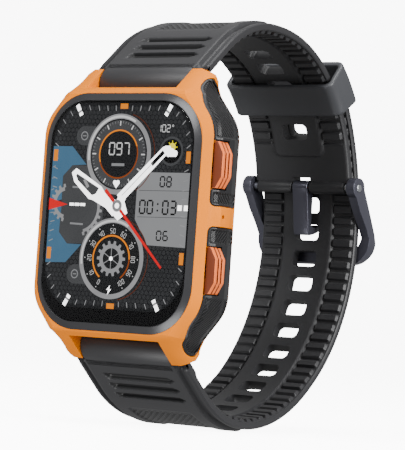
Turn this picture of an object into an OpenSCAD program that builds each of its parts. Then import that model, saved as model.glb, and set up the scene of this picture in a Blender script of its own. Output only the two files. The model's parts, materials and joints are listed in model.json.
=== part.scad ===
// Rugged square smartwatch on a buckled two-piece rubber strap.
// +Z points to twelve o'clock, -Y out of the display and +X to the two buttons.
// The origin is the middle of the wrist opening. Lengths are in millimetres.
// Inside the modules, y = 0 is the front plane of the case frame and y grows towards the wrist.

/* [Case] */
// Half width of the case over its side inserts
case_half_w = 20.1; // [18.5:0.1:22]
// Depth of the case frame from front plane to back edge
case_depth = 11.4; // [10.6:0.1:13]
// Height at which the straight side of the case ends
side_straight_z = 13.6; // [12.6:0.1:15]
// Radius of the case's shoulder above the straight side
shoulder_r = 8.2; // [7:0.1:9]
// Length of the sloping run from shoulder to lug
shoulder_run = 4.0; // [3.4:0.1:4.6]
// Radius of the hollow where the shoulder meets the lug
lug_hollow_r = 4.0; // [3:0.1:5]
// Turn of the shoulder away from the straight side, in degrees
shoulder_turn = 40; // [34:1:44]
// Width of the cavity for the electronics
cavity_w = 33; // [30:0.5:33.5]
// Height of the cavity for the electronics
cavity_h = 40; // [36:0.5:40.5]
// Corner radius of the cavity
cavity_r = 7; // [4:0.5:9]

/* [Display] */
// Width of the black bezel ring
bezel_w = 35; // [33:0.1:35.6]
// Height of the black bezel ring
bezel_h = 42.7; // [41:0.1:43]
// Corner radius of the bezel ring
bezel_r = 9; // [7:0.5:10]
// Width of the ring's sloping band
bezel_band = 1.4; // [1:0.1:2]
// How far the glass stands in front of the case frame
glass_proud = 0.5; // [0.3:0.1:0.9]
// Thickness of the cover glass
glass_t = 1.0; // [0.7:0.1:1.3]
// Thickness of the display panel
panel_t = 1.2; // [0.8:0.1:1.5]
// Depth of the seat that holds the bezel ring
bezel_seat = 1.3; // [1.1:0.1:1.5]

/* [Side inserts and buttons] */
// Thickness of the rubber side inserts
insert_t = 1.2; // [0.9:0.1:1.3]
// Half height of the bridge between the upper and lower inserts
bridge_half = 1.75; // [1.4:0.05:2.2]
// How far the bridge stands out past the inserts
bridge_proud = 0.5; // [0.2:0.1:0.8]
// Length of a button cap
button_l = 8.2; // [7:0.1:9]
// Width of a button cap
button_w = 2.95; // [2.4:0.05:3.2]
// How far a button stands out past the inserts
button_proud = 1.0; // [0.7:0.1:1.4]
// How deep a button cap's base lies behind the face of the inserts
button_sink = 0.9; // [0.7:0.05:1.1]
// How far a button's stem reaches into the cavity
stem_inside = 1.6; // [1.4:0.05:1.8]
// Height of the upper button above the middle
button_upper_z = 9.05; // [8.5:0.05:9.6]
// Depth of the lower button below the middle
button_lower_z = 9.5; // [9:0.05:10]
// Press travel of a button
button_travel = 0.5; // [0.3:0.05:0.5]
// Radius of a button's stem
stem_r = 0.7; // [0.6:0.05:0.85]

/* [Lugs and spring bars] */
// Gap between the two lugs of a pair
lug_gap = 20.2; // [19.2:0.1:20.6]
// Depth of the spring bar behind the front plane
pivot_y = 6.2; // [5.8:0.1:6.6]
// Height of the spring bar above the middle
pivot_z = 23.5; // [23.2:0.1:25]
// Slope of the lug faces and of the strap where it leaves them, in degrees
strap_slope = 41; // [38:1:44]
// Length of lug past the spring bar
lug_reach = 1.6; // [1.3:0.1:1.8]
// Radius of the spring bar tube
bar_r = 0.75; // [0.65:0.05:0.9]
// Radius of the spring bar tips
tip_r = 0.4; // [0.3:0.05:0.5]
// How far a tip reaches into its lug
tip_reach = 1.0; // [0.7:0.1:1.1]
// Radial clearance of every running fit
run_gap = 0.05; // [0.03:0.01:0.09]

/* [Strap] */
// Thickness of the strap
strap_t = 2.0; // [1.7:0.1:2.3]
// Width of the strap at its shoulders
strap_w_lug = 25; // [23:0.5:26]
// Width of the strap at the back of the loop
strap_w_back = 22.1; // [20:0.1:23]
// Height of the strap's outer face over the spring bar
strap_rise = 2.1; // [1.9:0.1:2.4]
// Height of the raised outer panel near the lugs
plateau_h = 0.5; // [0.3:0.1:0.7]
// Width of the raised outer panel
plateau_w = 20.6; // [16:0.2:21]
// Radius of the roll round each spring bar
roll_r = 1.75; // [1.5:0.05:1.9]
// Length of the straight lead from the spring bar
lead_l = 10.3; // [8:0.1:12]
// Radius of the bend from the lead to the crest of the loop
crest_r = 23.5; // [20:0.5:26]
// Depth of the loop behind its crest, long strap
loop_back = 35; // [33:0.1:40]
// Distance between neighbouring holes
hole_pitch = 5.4; // [5:0.1:6]
// Width of a hole
hole_w = 5.6; // [5:0.1:6]
// Height of a hole
hole_h = 3.2; // [3.2:0.1:3.6]

/* [Buckle and keeper] */
// Height of the buckle pin above the middle
buckle_z = 9.8; // [9:0.1:10.5]
// Radius of the buckle pin
buckle_pin_r = 0.75; // [0.6:0.05:0.9]
// Radius of the rolls round the buckle pin
buckle_roll_r = 1.3; // [1.15:0.05:1.35]
// Thickness of a leg of the buckle frame
buckle_leg = 1.9; // [1.4:0.1:2.2]
// Width of the tongue
tongue_w = 3.5; // [2.8:0.1:4]
// Thickness of the tongue
tongue_t = 1.3; // [1.1:0.1:1.5]
// Length of the keeper along the strap
keeper_l = 7.8; // [6:0.1:9]
// Wall of the keeper
keeper_wall = 1.1; // [0.9:0.1:1.4]

/* [Hidden] */
$fn = 40;

wrist_y = 34;                // front plane of the case to the middle of the wrist opening
fit_gap = 0.05;              // gap between parts that sit against each other
move_gap = 0.15;             // gap round a button cap

// Case surface: depth behind the front, distance inside the outline, share of the lug slope
case_rings = [[0, 2.5, 1], [1.16, 1.0, 1], [2.6, 0, 0.9], [6.2, 0, 0.45], [9.0, 1.0, 0.1], [case_depth,
  2.9, 0]];
slope_z = pivot_z - 2;       // height at which the front face starts to slope back
lug_top_z = pivot_z + 3.6;
bezel_inner_w = bezel_w - 2 * bezel_band;
bezel_inner_h = bezel_h - 2 * bezel_band;
bezel_inner_r = bezel_r - bezel_band;
panel_y = glass_t - glass_proud + fit_gap;
cavity_y = bezel_seat + 0.4; // front of the cavity, behind the ledge that the gasket lies on
back_seat_y = case_depth - 1.6;

insert_y = 1.25;             // front edge of the inserts
insert_back_y = 9;
insert_end_z = pivot_z + 1.2;

button_y = 1.5 + button_w / 2;
button_face_x = case_half_w + button_proud;
button_base_x = case_half_w - button_sink;
button_floor_x = button_base_x - button_travel - 0.1;
cavity_wall_x = cavity_w / 2;
stem_end_x = cavity_wall_x - stem_inside;
seal_x = cavity_wall_x + 0.75;
seal_r = 0.34;
spring_x = seal_x + 0.55;

pivot = [pivot_y, pivot_z];
run_dir = [cos(strap_slope), sin(strap_slope)];
out_dir = [-sin(strap_slope), cos(strap_slope)];
lead_end = pivot + lead_l * run_dir + strap_rise * out_dir;
crest = lead_end + crest_r * [sin(strap_slope), 1 - cos(strap_slope)];
bar_l = lug_gap - 1.4;
strap_end_w = lug_gap - 0.4;
shoulder_s = lug_reach + 0.3;
tail_rise = crest[1] + 6.2;  // the tail climbs more steeply, outside the short strap
short_back = loop_back - strap_t - 0.7;
short_power = 2.28;
short_end_t = 13.4;
tail_end_t = 44;
holes_below = 9;
holes_above = 5;

buckle_y = crest[0] + short_back * 0.977 - strap_t / 2 - 0.05;
leg_in_x = strap_w_back / 2 + 0.3;
leg_out_x = leg_in_x + buckle_leg;
tongue_hole_z = 1.0;
keeper_t = 45.5;             // place of the keeper along the loop

// ---------- outlines and surfaces ----------

// Rounded rectangle, upright in x and z
module plate_outline(w, h, r) {
  for (s = [-1, 1]) translate([s * (w / 2 - r), 0]) for (q = [-1, 1]) translate([0, q
    * (h / 2 - r)]) circle(r);
  square([w - 2 * r, h], center = true);
  square([w, h - 2 * r], center = true);
}

// Upright plate between depths y0 and y1
module plate(w, h, r, y0, y1) {
  translate([0, y1, 0]) rotate([90, 0, 0]) linear_extrude(y1 - y0) plate_outline(w, h, r);
}

// Shape drawn in y and z, carried along x over the width w
module across(w) {
  translate([-w / 2, 0, 0]) rotate([90, 0, 90]) linear_extrude(w) children();
}

// Round rod along x from x0 to x1 at depth y and height z
module rod(r, x0, x1, y, z) {
  translate([x0, y, z]) rotate([0, 90, 0]) cylinder(r = r, h = x1 - x0);
}

// Right edge of the case seen from the front, from the middle up: [x, z] sunk by d along its normal
function edge_upper(d) = let (
  k = 8,
  c1 = [case_half_w - shoulder_r, side_straight_z],
  m = c1 + shoulder_r * [cos(shoulder_turn), sin(shoulder_turn)] + shoulder_run * [-sin(shoulder_turn),
    cos(shoulder_turn)],
  c2 = m + lug_hollow_r * [cos(shoulder_turn), sin(shoulder_turn)]
) concat(
  [for (i = [0:k]) let (a = shoulder_turn * i / k) c1 + (shoulder_r - d) * [cos(a), sin(a)]],
  [for (i = [0:k]) let (a = 180 + shoulder_turn * (1 - i / k)) c2 + (lug_hollow_r + d) * [cos(a), sin(a)]],
  [[c2[0] - lug_hollow_r - d, lug_top_z]]);

// The whole right edge from the bottom to the top
function edge(d) = let (u = edge_upper(d), n = len(u)) concat([for (i = [n - 1:-1:0]) [u[i][0],
  -u[i][1]]], u);

// How far the front face has sloped back at height z
function slope_back(z) = max(0, (abs(z) - slope_z) / tan(strap_slope));

// Lofted body of the case, with the surface sunk by d
module case_body(d) {
  n = len(edge(0));
  rings = len(case_rings);
  pts = [for (k = [0:rings - 1]) let (r = case_rings[k], e = edge(r[1] + d)) each
    [for (s = [1, -1]) each [for (i = [0:n - 1]) [s * e[i][0], r[0] + r[2] * slope_back(e[i][1]),
      e[i][1]]]]];
  function at(k, side, i) = (2 * k + side) * n + i;
  sides = [for (k = [0:rings - 2], i = [0:n - 2], f = [
    [at(k, 0, i), at(k + 1, 0, i + 1), at(k + 1, 0, i)], [at(k, 0, i), at(k, 0, i + 1), at(k + 1, 0, i
      + 1)],
    [at(k, 1, i), at(k + 1, 1, i), at(k + 1, 1, i + 1)], [at(k, 1, i), at(k + 1, 1, i + 1), at(k, 1, i
      + 1)]]) f];
  caps = [for (i = [0:n - 2], f = [
    [at(0, 0, i), at(0, 1, i + 1), at(0, 0, i + 1)], [at(0, 0, i), at(0, 1, i), at(0, 1, i + 1)],
    [at(rings - 1, 0, i), at(rings - 1, 0, i + 1), at(rings - 1, 1, i + 1)],
    [at(rings - 1, 0, i), at(rings - 1, 1, i + 1), at(rings - 1, 1, i)]]) f];
  ends = [for (k = [0:rings - 2], f = [
    [at(k, 0, 0), at(k + 1, 1, 0), at(k, 1, 0)], [at(k, 0, 0), at(k + 1, 0, 0), at(k + 1, 1, 0)],
    [at(k, 0, n - 1), at(k, 1, n - 1), at(k + 1, 1, n - 1)],
    [at(k, 0, n - 1), at(k + 1, 1, n - 1), at(k + 1, 0, n - 1)]]) f];
  polyhedron(pts, concat(sides, caps, ends), convexity = 8);
}

// Outline with its corners softened over the length r
function softened(p, r) = let (n = len(p)) [for (i = [0:n - 1])
  let (a = p[(i + n - 1) % n], b = p[i], c = p[(i + 1) % n],
    u = b + (a - b) * min(0.45, r / norm(a - b)), v = b + (c - b) * min(0.45, r / norm(c - b)))
  each [for (t = [0:0.25:1]) (1 - t) * (1 - t) * u + 2 * t * (1 - t) * b + t * t * v]];

// Height of the line that keeps a border of frame round an insert, parallel to the lug's end
function lug_z(y) = pivot_z + (lug_reach - 0.75 - (y - pivot_y) * cos(strap_slope)) / sin(strap_slope);

// Side view of an insert's seat, grown by g
module insert_side(g) {
  rise = insert_end_z - slope_z;
  polygon(softened([
    [insert_y - g, bridge_half - g], [insert_y - g, slope_z - 2],
    [insert_y + 1.2 - g, slope_z + 0.9], [insert_y + rise - g, insert_end_z - 0.5],
    [insert_y + rise + 1.0, insert_end_z + g], [pivot_y + 0.15, insert_end_z + g],
    [insert_back_y + g, lug_z(insert_back_y) + g], [insert_back_y + g, bridge_half - g]], 1.2));
}

// Ring that turns a coil of wire: a helix along x between x0 and x1
module coil(x0, x1, r, wire_r, turns, y, z) {
  sides = 6;
  steps = 10 * turns;
  pts = [for (i = [0:steps]) let (a = 360 * turns * i / steps, x = x0 + wire_r + (x1 - x0 - 2 * wire_r)
    * i / steps) each
    [for (j = [0:sides - 1]) let (b = 360 * j / sides, q = r + wire_r * cos(b))
      [x + wire_r * sin(b), y + q * cos(a), z + q * sin(a)]]];
  walls = [for (i = [0:steps - 1], j = [0:sides - 1]) let (k = (j + 1) % sides, a = i * sides, b = a
    + sides)
    each [[a + j, a + k, b + k], [a + j, b + k, b + j]]];
  polyhedron(pts, concat(walls, [[for (j = [sides - 1:-1:0]) j]], [[for (j = [0:sides - 1]) steps
    * sides + j]]));
}

// ---------- case ----------

// Cut that ends the upper lugs square to their slope
module lug_end_cut() {
  across(60) translate(pivot) rotate(strap_slope) translate([lug_reach, -14]) square([30, 40]);
}

// Room between two lugs for the strap's end
module lug_gap_cut() {
  across(lug_gap) {
    translate([-4, pivot_z - 0.95]) square([30, 20]);
    translate(pivot) circle(roll_r + 0.4);
  }
}

// Pocket for a button cap in insert and frame, grown by g
module button_pocket(z, g) {
  translate([button_floor_x, button_y - button_w / 2 - g, z - button_l / 2 - g])
    cube([10, button_w + 2 * g, button_l + 2 * g]);
}

// Bore, seal groove and spring seat of a button
module button_bore(z) {
  rod(stem_r + run_gap, cavity_wall_x - 3, case_half_w, button_y, z);
  rod(stem_r + 2 * seal_r + 0.06, seal_x - seal_r - 0.02, seal_x + seal_r + 0.02, button_y, z);
  rod(stem_r + 0.85, spring_x, case_half_w, button_y, z);
}

module case_frame() {
  color("#ff9a2e") place() {
    difference() {
      case_body(0);
      for (q = [0, 1]) mirror([0, 0, q]) {
        lug_end_cut();
        lug_gap_cut();
        difference() {
          translate([-30, 0, 0]) rotate([90, 0, 90]) linear_extrude(60) insert_side(fit_gap);
          case_body(insert_t + fit_gap);
        }
        for (s = [-1, 1]) rod(tip_r + run_gap, min(s * (lug_gap / 2 - 0.5), s * (lug_gap / 2
          + tip_reach + 0.3)),
          max(s * (lug_gap / 2 - 0.5), s * (lug_gap / 2 + tip_reach + 0.3)), pivot_y, pivot_z);
      }
      plate(bezel_w + 2 * fit_gap, bezel_h + 2 * fit_gap, bezel_r + fit_gap, -2, bezel_seat);
      plate(cavity_w - 1.6, cavity_h - 1.2, cavity_r - 0.8, 0, cavity_y + 1);
      plate(cavity_w, cavity_h, cavity_r, cavity_y, case_depth + 1);
      plate(cavity_w + 0.8, cavity_h + 0.2, cavity_r, back_seat_y, case_depth + 1);
      for (z = [button_upper_z, -button_lower_z]) {
        button_pocket(z, move_gap + fit_gap);
        button_bore(z);
      }
      rod(0.35, cavity_wall_x - 1, case_half_w + 2, 3.6, 0);
      for (z = [-0.9, 0, 0.9]) translate([-case_half_w - 2, 3, z - 0.22]) cube([6, 2.6, 0.44]);
    }
    bridge(1);
    bridge(-1);
  }
}

// Raised bridge between the inserts; the right one has the microphone hole, the left the sound slots
module bridge(s) {
  x = case_half_w + bridge_proud;
  difference() {
    intersection() {
      linear_extrude(2 * bridge_half, center = true) scale_x(s)
        polygon([[x - 2.1, insert_y], [x - 1.2, insert_y + 0.4], [x, insert_y + 1.6], [x, 5.4], [x - 0.5,
          6.6], [x - 2.1, insert_back_y]]);
      translate([-30, 0, 0]) rotate([90, 0, 90]) linear_extrude(60)
        polygon([[0, -bridge_half], [insert_back_y, -bridge_half], [insert_back_y, bridge_half], [0,
          bridge_half]]);
    }
    if (s > 0) rod(0.35, cavity_wall_x - 1, x + 1, 3.6, 0);
    if (s < 0) for (z = [-0.9, 0, 0.9]) translate([-x - 1, 3, z - 0.22]) cube([6, 2.6, 0.44]);
  }
}

module scale_x(s) {
  mirror([s < 0 ? 1 : 0, 0]) children();
}

module bezel_ring() {
  color("#3a3c3e") place() difference() {
    union() {
      hull() {
        plate(bezel_w, bezel_h, bezel_r, 0, 0.02);
        plate(bezel_w - 2 * bezel_band + 0.3, bezel_h - 2 * bezel_band + 0.3, bezel_inner_r,
          -glass_proud, 0);
      }
      plate(bezel_w, bezel_h, bezel_r, 0, bezel_seat - fit_gap);
    }
    plate(bezel_inner_w + 2 * fit_gap, bezel_inner_h + 2 * fit_gap, bezel_inner_r + fit_gap, -2,
      glass_t - glass_proud + fit_gap);
    plate(bezel_inner_w - 0.6, bezel_inner_h - 0.6, bezel_inner_r - 0.3, -2, bezel_seat + 1);
  }
}

module cover_glass() {
  color("#0b0c0e") place() plate(bezel_inner_w, bezel_inner_h, bezel_inner_r, -glass_proud,
    glass_t - glass_proud);
}

module display_panel() {
  color("#14181c") place()
    plate(bezel_inner_w - 1.2, bezel_inner_h - 1.2, bezel_inner_r - 0.6, panel_y, panel_y + panel_t);
}

module display_gasket() {
  color("#202020") place() difference() {
    plate(bezel_w - 0.4, bezel_h - 0.4, bezel_r - 0.2, bezel_seat - fit_gap, bezel_seat);
    plate(cavity_w - 1.6, cavity_h - 1.2, cavity_r - 0.8, 0, 5);
  }
}

// Black chassis that carries board and battery
module inner_frame() {
  color("#2b2d30") place() difference() {
    plate(cavity_w - 6.8, cavity_h - 1.2, cavity_r - 1, cavity_y + 0.3, cavity_y + 1.1);
    plate(11, 5, 1, cavity_y, cavity_y + 2);
    for (s = [-1, 1], q = [-1, 1]) translate([s * 11, 0, q * 15.5]) rotate([-90, 0, 0]) cylinder(r = 1.2,
      h = 9);
  }
}

module insert(s, q) {
  color("#2d2f31") place() mirror([s < 0 ? 1 : 0, 0, 0]) mirror([0, 0, q < 0 ? 1 : 0]) difference() {
    intersection() {
      case_body(0);
      translate([5, 0, 0]) rotate([90, 0, 90]) linear_extrude(40) insert_side(0);
    }
    case_body(insert_t);
    lug_end_cut();
    if (s > 0) button_pocket(q > 0 ? button_upper_z : button_lower_z, move_gap);
  }
}

module insert_right_upper() { insert(1, 1); }
module insert_right_lower() { insert(1, -1); }
module insert_left_upper() { insert(-1, 1); }
module insert_left_lower() { insert(-1, -1); }

// Button cap with sloping ends, three ridges and a stem
module button(z) {
  x0 = button_base_x;
  x1 = button_face_x;
  groove = 0.42;
  color("#f0a070") place() {
    difference() {
      translate([0, button_y + button_w / 2, 0]) rotate([90, 0, 0]) linear_extrude(button_w) polygon([
        [x0, z - button_l / 2], [x0 + 0.7, z - button_l / 2], [x1, z - button_l / 4],
        [x1, z + button_l / 4], [x0 + 0.7, z + button_l / 2], [x0, z + button_l / 2]]);
      for (i = [-1, 1]) translate([x1 - 0.35, button_y + i * button_w / 6 - groove / 2, z - button_l])
        cube([2, groove, 2 * button_l]);
    }
    rod(stem_r, stem_end_x, x0 + 0.1, button_y, z);
  }
}

module button_upper() { button(button_upper_z); }
module button_lower() { button(-button_lower_z); }

module button_spring(z) {
  color("#c8ccd0") place() coil(spring_x + 0.03, button_floor_x - 0.02, stem_r + 0.42, 0.1, 2, button_y, z);
}

module button_upper_spring() { button_spring(button_upper_z); }
module button_lower_spring() { button_spring(-button_lower_z); }

module button_o_ring(z) {
  color("#1c1c1c") place() translate([seal_x, button_y, z]) rotate([0, 90, 0])
    rotate_extrude() translate([stem_r + seal_r + 0.03, 0]) circle(seal_r);
}

module button_upper_o_ring() { button_o_ring(button_upper_z); }
module button_lower_o_ring() { button_o_ring(-button_lower_z); }

// Retaining clip that keeps the stem in the case
module button_clip(z) {
  color("#b8bcc0") place() difference() {
    rod(stem_r + 0.4, cavity_wall_x - 0.45, cavity_wall_x - 0.05, button_y, z);
    rod(stem_r, cavity_wall_x - 1, cavity_wall_x + 1, button_y, z);
  }
}

module button_upper_clip() { button_clip(button_upper_z); }
module button_lower_clip() { button_clip(-button_lower_z); }

// Flexible circuit along the right wall with one key switch behind each stem
module side_key_flex() {
  switch_x = stem_end_x - button_travel - 0.05;
  color("#8a6a30") place() {
    translate([switch_x - 1.0, button_y - 1.0, -14.5]) cube([0.3, 2.4, 28.2]);
    for (z = [button_upper_z, -button_lower_z]) {
      translate([switch_x - 0.7, button_y - 1.0, z - 1.5]) cube([0.4, 2.2, 3]);
      rod(0.7, switch_x - 0.35, switch_x, button_y, z);
    }
  }
}

module microphone() {
  color("#c0c4c8") place() translate([cavity_wall_x - 1.1, 2.6, -1.5]) cube([1, 2, 3]);
}

module speaker() {
  color("#303236") place() translate([-cavity_wall_x + 0.2, 2.7, -5]) cube([1.9, 3.2, 10]);
}

// ---------- inside the case ----------

module main_board() {
  color("#1f5a3a") place() difference() {
    translate([-13, 3.9, -17]) cube([26, 0.8, 34]);
    for (s = [-1, 1], q = [-1, 1]) translate([s * 11, 0, q * 15.5]) rotate([-90, 0, 0]) cylinder(r = 1.2,
      h = 9);
  }
}

module battery() {
  color("#c9ccd1") place() translate([-9.5, 4.95, -13]) cube([19, 4.2, 26]);
}

module display_flex() {
  color("#b07828") place() {
    translate([-4, panel_y + panel_t + fit_gap, -1.5]) cube([8, 0.15, 3]);
    translate([-4, panel_y + panel_t + 0.1, -1.5]) cube([8, 3.85 - panel_y - panel_t - 0.1, 0.15]);
  }
}

module gps_antenna() {
  color("#d8c070") place() translate([-10, 4.9, 14]) cube([20, 1.2, 4.2]);
}

module vibration_motor() {
  color("#b8babd") place() translate([0, 4.9, -16.6]) rotate([-90, 0, 0]) cylinder(r = 2.9, h = 2.7);
}

module sensor_board() {
  color("#1c4a78") place() {
    translate([-7, case_depth - 1.95, -7]) cube([14, 0.6, 14]);
    for (s = [-1, 1]) translate([s * 3.4 - 1, case_depth - 1.4, -1]) cube([2, 0.5, 2]);
  }
}

module rear_gasket() {
  color("#1a1a1a") place() difference() {
    plate(cavity_w + 0.5, cavity_h, cavity_r, back_seat_y, back_seat_y + 0.3);
    plate(cavity_w - 2.4, cavity_h - 2.4, cavity_r - 1.2, 0, 20);
  }
}

cover_t = case_depth - back_seat_y - 0.35;

module rear_cover() {
  y0 = case_depth - cover_t;
  color("#26282b") place() difference() {
    union() {
      plate(cavity_w + 0.6, cavity_h, cavity_r, y0, case_depth);
      translate([0, case_depth, 0]) rotate([-90, 0, 0]) cylinder(r1 = 13.5, r2 = 12.5, h = 0.8);
    }
    translate([0, case_depth - 0.4, 0]) rotate([-90, 0, 0]) cylinder(r = 9.5 + fit_gap, h = 3);
    translate([0, y0 - 1, 0]) rotate([-90, 0, 0]) cylinder(r = 8.6, h = 3);
    for (s = [-1, 1], q = [-1, 1]) translate([s * 13, 0, q * 15.8]) rotate([-90, 0, 0]) {
      cylinder(r = 0.65, h = 20);
      translate([0, 0, case_depth - 0.55]) cylinder(r = 1.15, h = 3);
    }
    for (s = [-1, 1]) translate([s * 2.6, y0 - 1, -15.2]) rotate([-90, 0, 0]) cylinder(r = 1.2 + fit_gap,
      h = 3);
  }
}

module sensor_window() {
  color("#101418") place() translate([0, case_depth - 0.35, 0]) rotate([-90, 0, 0]) {
    cylinder(r = 9.5, h = 1.1);
    translate([0, 0, 1.1]) cylinder(r1 = 9.5, r2 = 7.4, h = 0.4);
  }
}

module charging_pads() {
  color("#d9b25a") place() for (s = [-1, 1]) translate([s * 2.6, case_depth - cover_t + 0.05, -15.2])
    rotate([-90, 0, 0]) cylinder(r = 1.2, h = cover_t);
}

module rear_screws() {
  color("#a8acb0") place() for (s = [-1, 1], q = [-1, 1]) translate([s * 13, 0, q * 15.8]) rotate([-90,
    0, 0])
    difference() {
      union() {
        translate([0, 0, case_depth - 0.5]) cylinder(r = 1.1, h = 0.45);
        translate([0, 0, back_seat_y + 0.4]) cylinder(r = 0.6, h = case_depth - 0.1 - back_seat_y - 0.4);
      }
      for (a = [0, 90]) rotate(a) translate([-0.6, -0.12, case_depth - 0.25]) cube([1.2, 0.24, 1]);
    }
}

// ---------- spring bars ----------

module spring_bar(q) {
  color("#c4c8cc") place() mirror([0, 0, q < 0 ? 1 : 0]) difference() {
    rod(bar_r, -bar_l / 2, bar_l / 2, pivot_y, pivot_z);
    rod(tip_r + 0.15, -bar_l / 2 + 0.4, bar_l / 2 - 0.4, pivot_y, pivot_z);
    rod(tip_r + run_gap, -bar_l, bar_l, pivot_y, pivot_z);
  }
}

module spring_bar_upper() { spring_bar(1); }
module spring_bar_lower() { spring_bar(-1); }

// Tip with a shoulder that stays inside the tube
module bar_tip(s, q) {
  color("#d0d4d8") place() mirror([s < 0 ? 1 : 0, 0, 0]) mirror([0, 0, q < 0 ? 1 : 0]) {
    rod(tip_r, bar_l / 2 - 2.6, lug_gap / 2 + tip_reach, pivot_y, pivot_z);
    rod(tip_r + 0.15 - run_gap, bar_l / 2 - 2.6, bar_l / 2 - 0.45, pivot_y, pivot_z);
  }
}

module bar_tip_upper_right() { bar_tip(1, 1); }
module bar_tip_upper_left() { bar_tip(-1, 1); }
module bar_tip_lower_right() { bar_tip(1, -1); }
module bar_tip_lower_left() { bar_tip(-1, -1); }

module bar_spring(q) {
  half = bar_l / 2 - 2.6 - tip_reach - 0.7;
  color("#9aa0a6") place() coil(-half, half, 0.36, 0.11, 8, pivot_y, q * pivot_z);
}

module bar_spring_upper() { bar_spring(1); }
module bar_spring_lower() { bar_spring(-1); }

// ---------- strap ----------

// Outer face from the lug to the crest, sunk by d, starting s along the lead
function lead_pts(d, s) = let (k = 10, c = crest - [0, crest_r]) concat(
  [pivot + s * run_dir + (strap_rise - d) * out_dir],
  [for (i = [0:k]) let (a = strap_slope * (1 - i / k)) c + (crest_r - d) * [-sin(a), cos(a)]]);

// Point of the back curve at angle t, sunk by d: depth a, height b, power e
function back_pt(t, d, a, b, e) = let (
  c = pow(max(0, cos(t)), 2 / e), s = pow(max(0, sin(t)), 2 / e),
  g = [pow(c, e - 1) / a, pow(s, e - 1) / b])
  [crest[0] + a * c, b * s] - d * g / norm(g);

// Points of the short strap's face from the crest to its end
function short_pts(d, t_end) = let (k = 22)
  [for (i = [1:k]) back_pt(90 + (t_end - 90) * i / k, d, short_back, crest[1], short_power)];

// Points of the long strap's face: down to the middle and up again along the tail
function long_pts(d, t_end) = let (k = 24, m = 12) concat(
  [for (i = [1:k]) back_pt(90 - 90 * i / k, d, loop_back, crest[1], 2)],
  [for (i = [1:m]) let (p = back_pt(t_end * i / m, d, loop_back, tail_rise, 2)) [p[0], -p[1]]]);

// Plan that narrows the strap from its shoulders to the back of the loop
module width_plan() {
  translate([0, 0, -60]) linear_extrude(120) polygon([
    [-strap_w_lug / 2, -5], [strap_w_lug / 2, -5], [strap_w_lug / 2, 14], [strap_w_back / 2, crest[0] + 22],
    [strap_w_back / 2, 90], [-strap_w_back / 2, 90], [-strap_w_back / 2, crest[0] + 22],
      [-strap_w_lug / 2, 14]]);
}

// Strap between an outer and an inner row of points, with its raised panel and the roll at the lug
module strap_blank(outer, inner) {
  intersection() {
    union() {
      across(2 * strap_w_lug) polygon(concat(lead_pts(0, shoulder_s + 1.5), outer,
        [for (i = [len(inner) - 1:-1:0]) inner[i]], [for (p = [for (i = [11:-1:0]) lead_pts(strap_t,
          shoulder_s)[i]]) p]));
      across(plateau_w) polygon(concat(lead_pts(-plateau_h, shoulder_s + 1.5),
        [for (i = [1:6]) back_pt(90 - 3.6 * i, -plateau_h * (1 - pow(i / 6, 3)), loop_back - 1.2,
          crest[1], 2.1)],
        [for (i = [6:-1:1]) back_pt(90 - 3.6 * i, strap_t / 2, loop_back - 1.2, crest[1], 2.1)],
        [for (i = [11:-1:0]) lead_pts(strap_t / 2, shoulder_s)[i]]));
    }
    width_plan();
  }
  across(strap_end_w) translate(pivot) rotate(strap_slope) {
    circle(roll_r);
    polygon([[-0.2, roll_r - 0.02], [shoulder_s + 1.5, strap_rise + plateau_h], [shoulder_s + 2,
      strap_rise],
      [shoulder_s + 2, strap_rise - strap_t + 0.1], [0.8, -roll_r + 0.22]]);
  }
}

// Rounded slot through the strap at point p with face angle a
module slot(p, a) {
  translate([0, p[0], p[1]]) rotate([a - 90, 0, 0]) linear_extrude(8,
    center = true) plate_outline(hole_w, hole_h, 1);
}

// Angle along the long strap's back curve after walking the distance s from angle t
function ell_speed(t) = norm([loop_back * sin(t), crest[1] * cos(t)]) * PI / 180;
function walk(t, s) = s <= 0.3 ? t + s / ell_speed(t) : walk(t + 0.3 / ell_speed(t
  + 0.15 / ell_speed(t)), s - 0.3);

function short_speed(t) = norm(back_pt(t - 0.5, 0, short_back, crest[1], short_power)
  - back_pt(t + 0.5, 0, short_back, crest[1], short_power));
function short_walk(t, s) = s <= 0.3 ? t + s / short_speed(t) : short_walk(t + 0.3 / short_speed(t),
  s - 0.3);

module strap_short() {
  first_t = short_walk(short_end_t, 10.6);
  color("#4c4e50") place() difference() {
    union() {
      strap_blank(short_pts(0, short_end_t + 1), short_pts(strap_t, short_end_t + 1));
      across(strap_w_back - 1.5) translate([buckle_y, buckle_z]) circle(buckle_roll_r);
    }
    rod(bar_r + run_gap, -30, 30, pivot_y, pivot_z);
    rod(buckle_pin_r + run_gap, -30, 30, buckle_y, buckle_z);
    translate([-tongue_w / 2 - 0.3, buckle_y - 4, buckle_z - 3]) cube([tongue_w + 0.6, 8, 4.9]);
    for (i = [0:4]) let (t = short_walk(first_t, i * hole_pitch), p = back_pt(t, strap_t / 2, short_back,
      crest[1], short_power),
      v = back_pt(t + 0.5, 0, short_back, crest[1], short_power) - back_pt(t - 0.5, 0, short_back,
        crest[1], short_power))
      slot(p, atan2(v[1], v[0]) - 90);
  }
}

module strap_long() {
  color("#4c4e50") place() mirror([0, 0, 1]) difference() {
    strap_blank(long_pts(0, tail_end_t), long_pts(strap_t, tail_end_t));
    rod(bar_r + run_gap, -30, 30, pivot_y, pivot_z);
    for (i = [0:holes_below - 1]) let (t = walk(asin((hole_pitch - tongue_hole_z) / crest[1]), i
      * hole_pitch),
      p = back_pt(t, strap_t / 2, loop_back, crest[1], 2), v = [-loop_back * sin(t), crest[1] * cos(t)])
      slot(p, atan2(v[1], v[0]) - 90);
    for (i = [0:holes_above - 1]) let (t = asin(tongue_hole_z / tail_rise) + i
      * hole_pitch / (tail_rise * PI / 180),
      p = back_pt(t, strap_t / 2, loop_back, tail_rise, 2), v = [-loop_back * sin(t), -tail_rise * cos(t)])
      slot([p[0], -p[1]], atan2(v[1], v[0]) + 90);
  }
}

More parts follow.
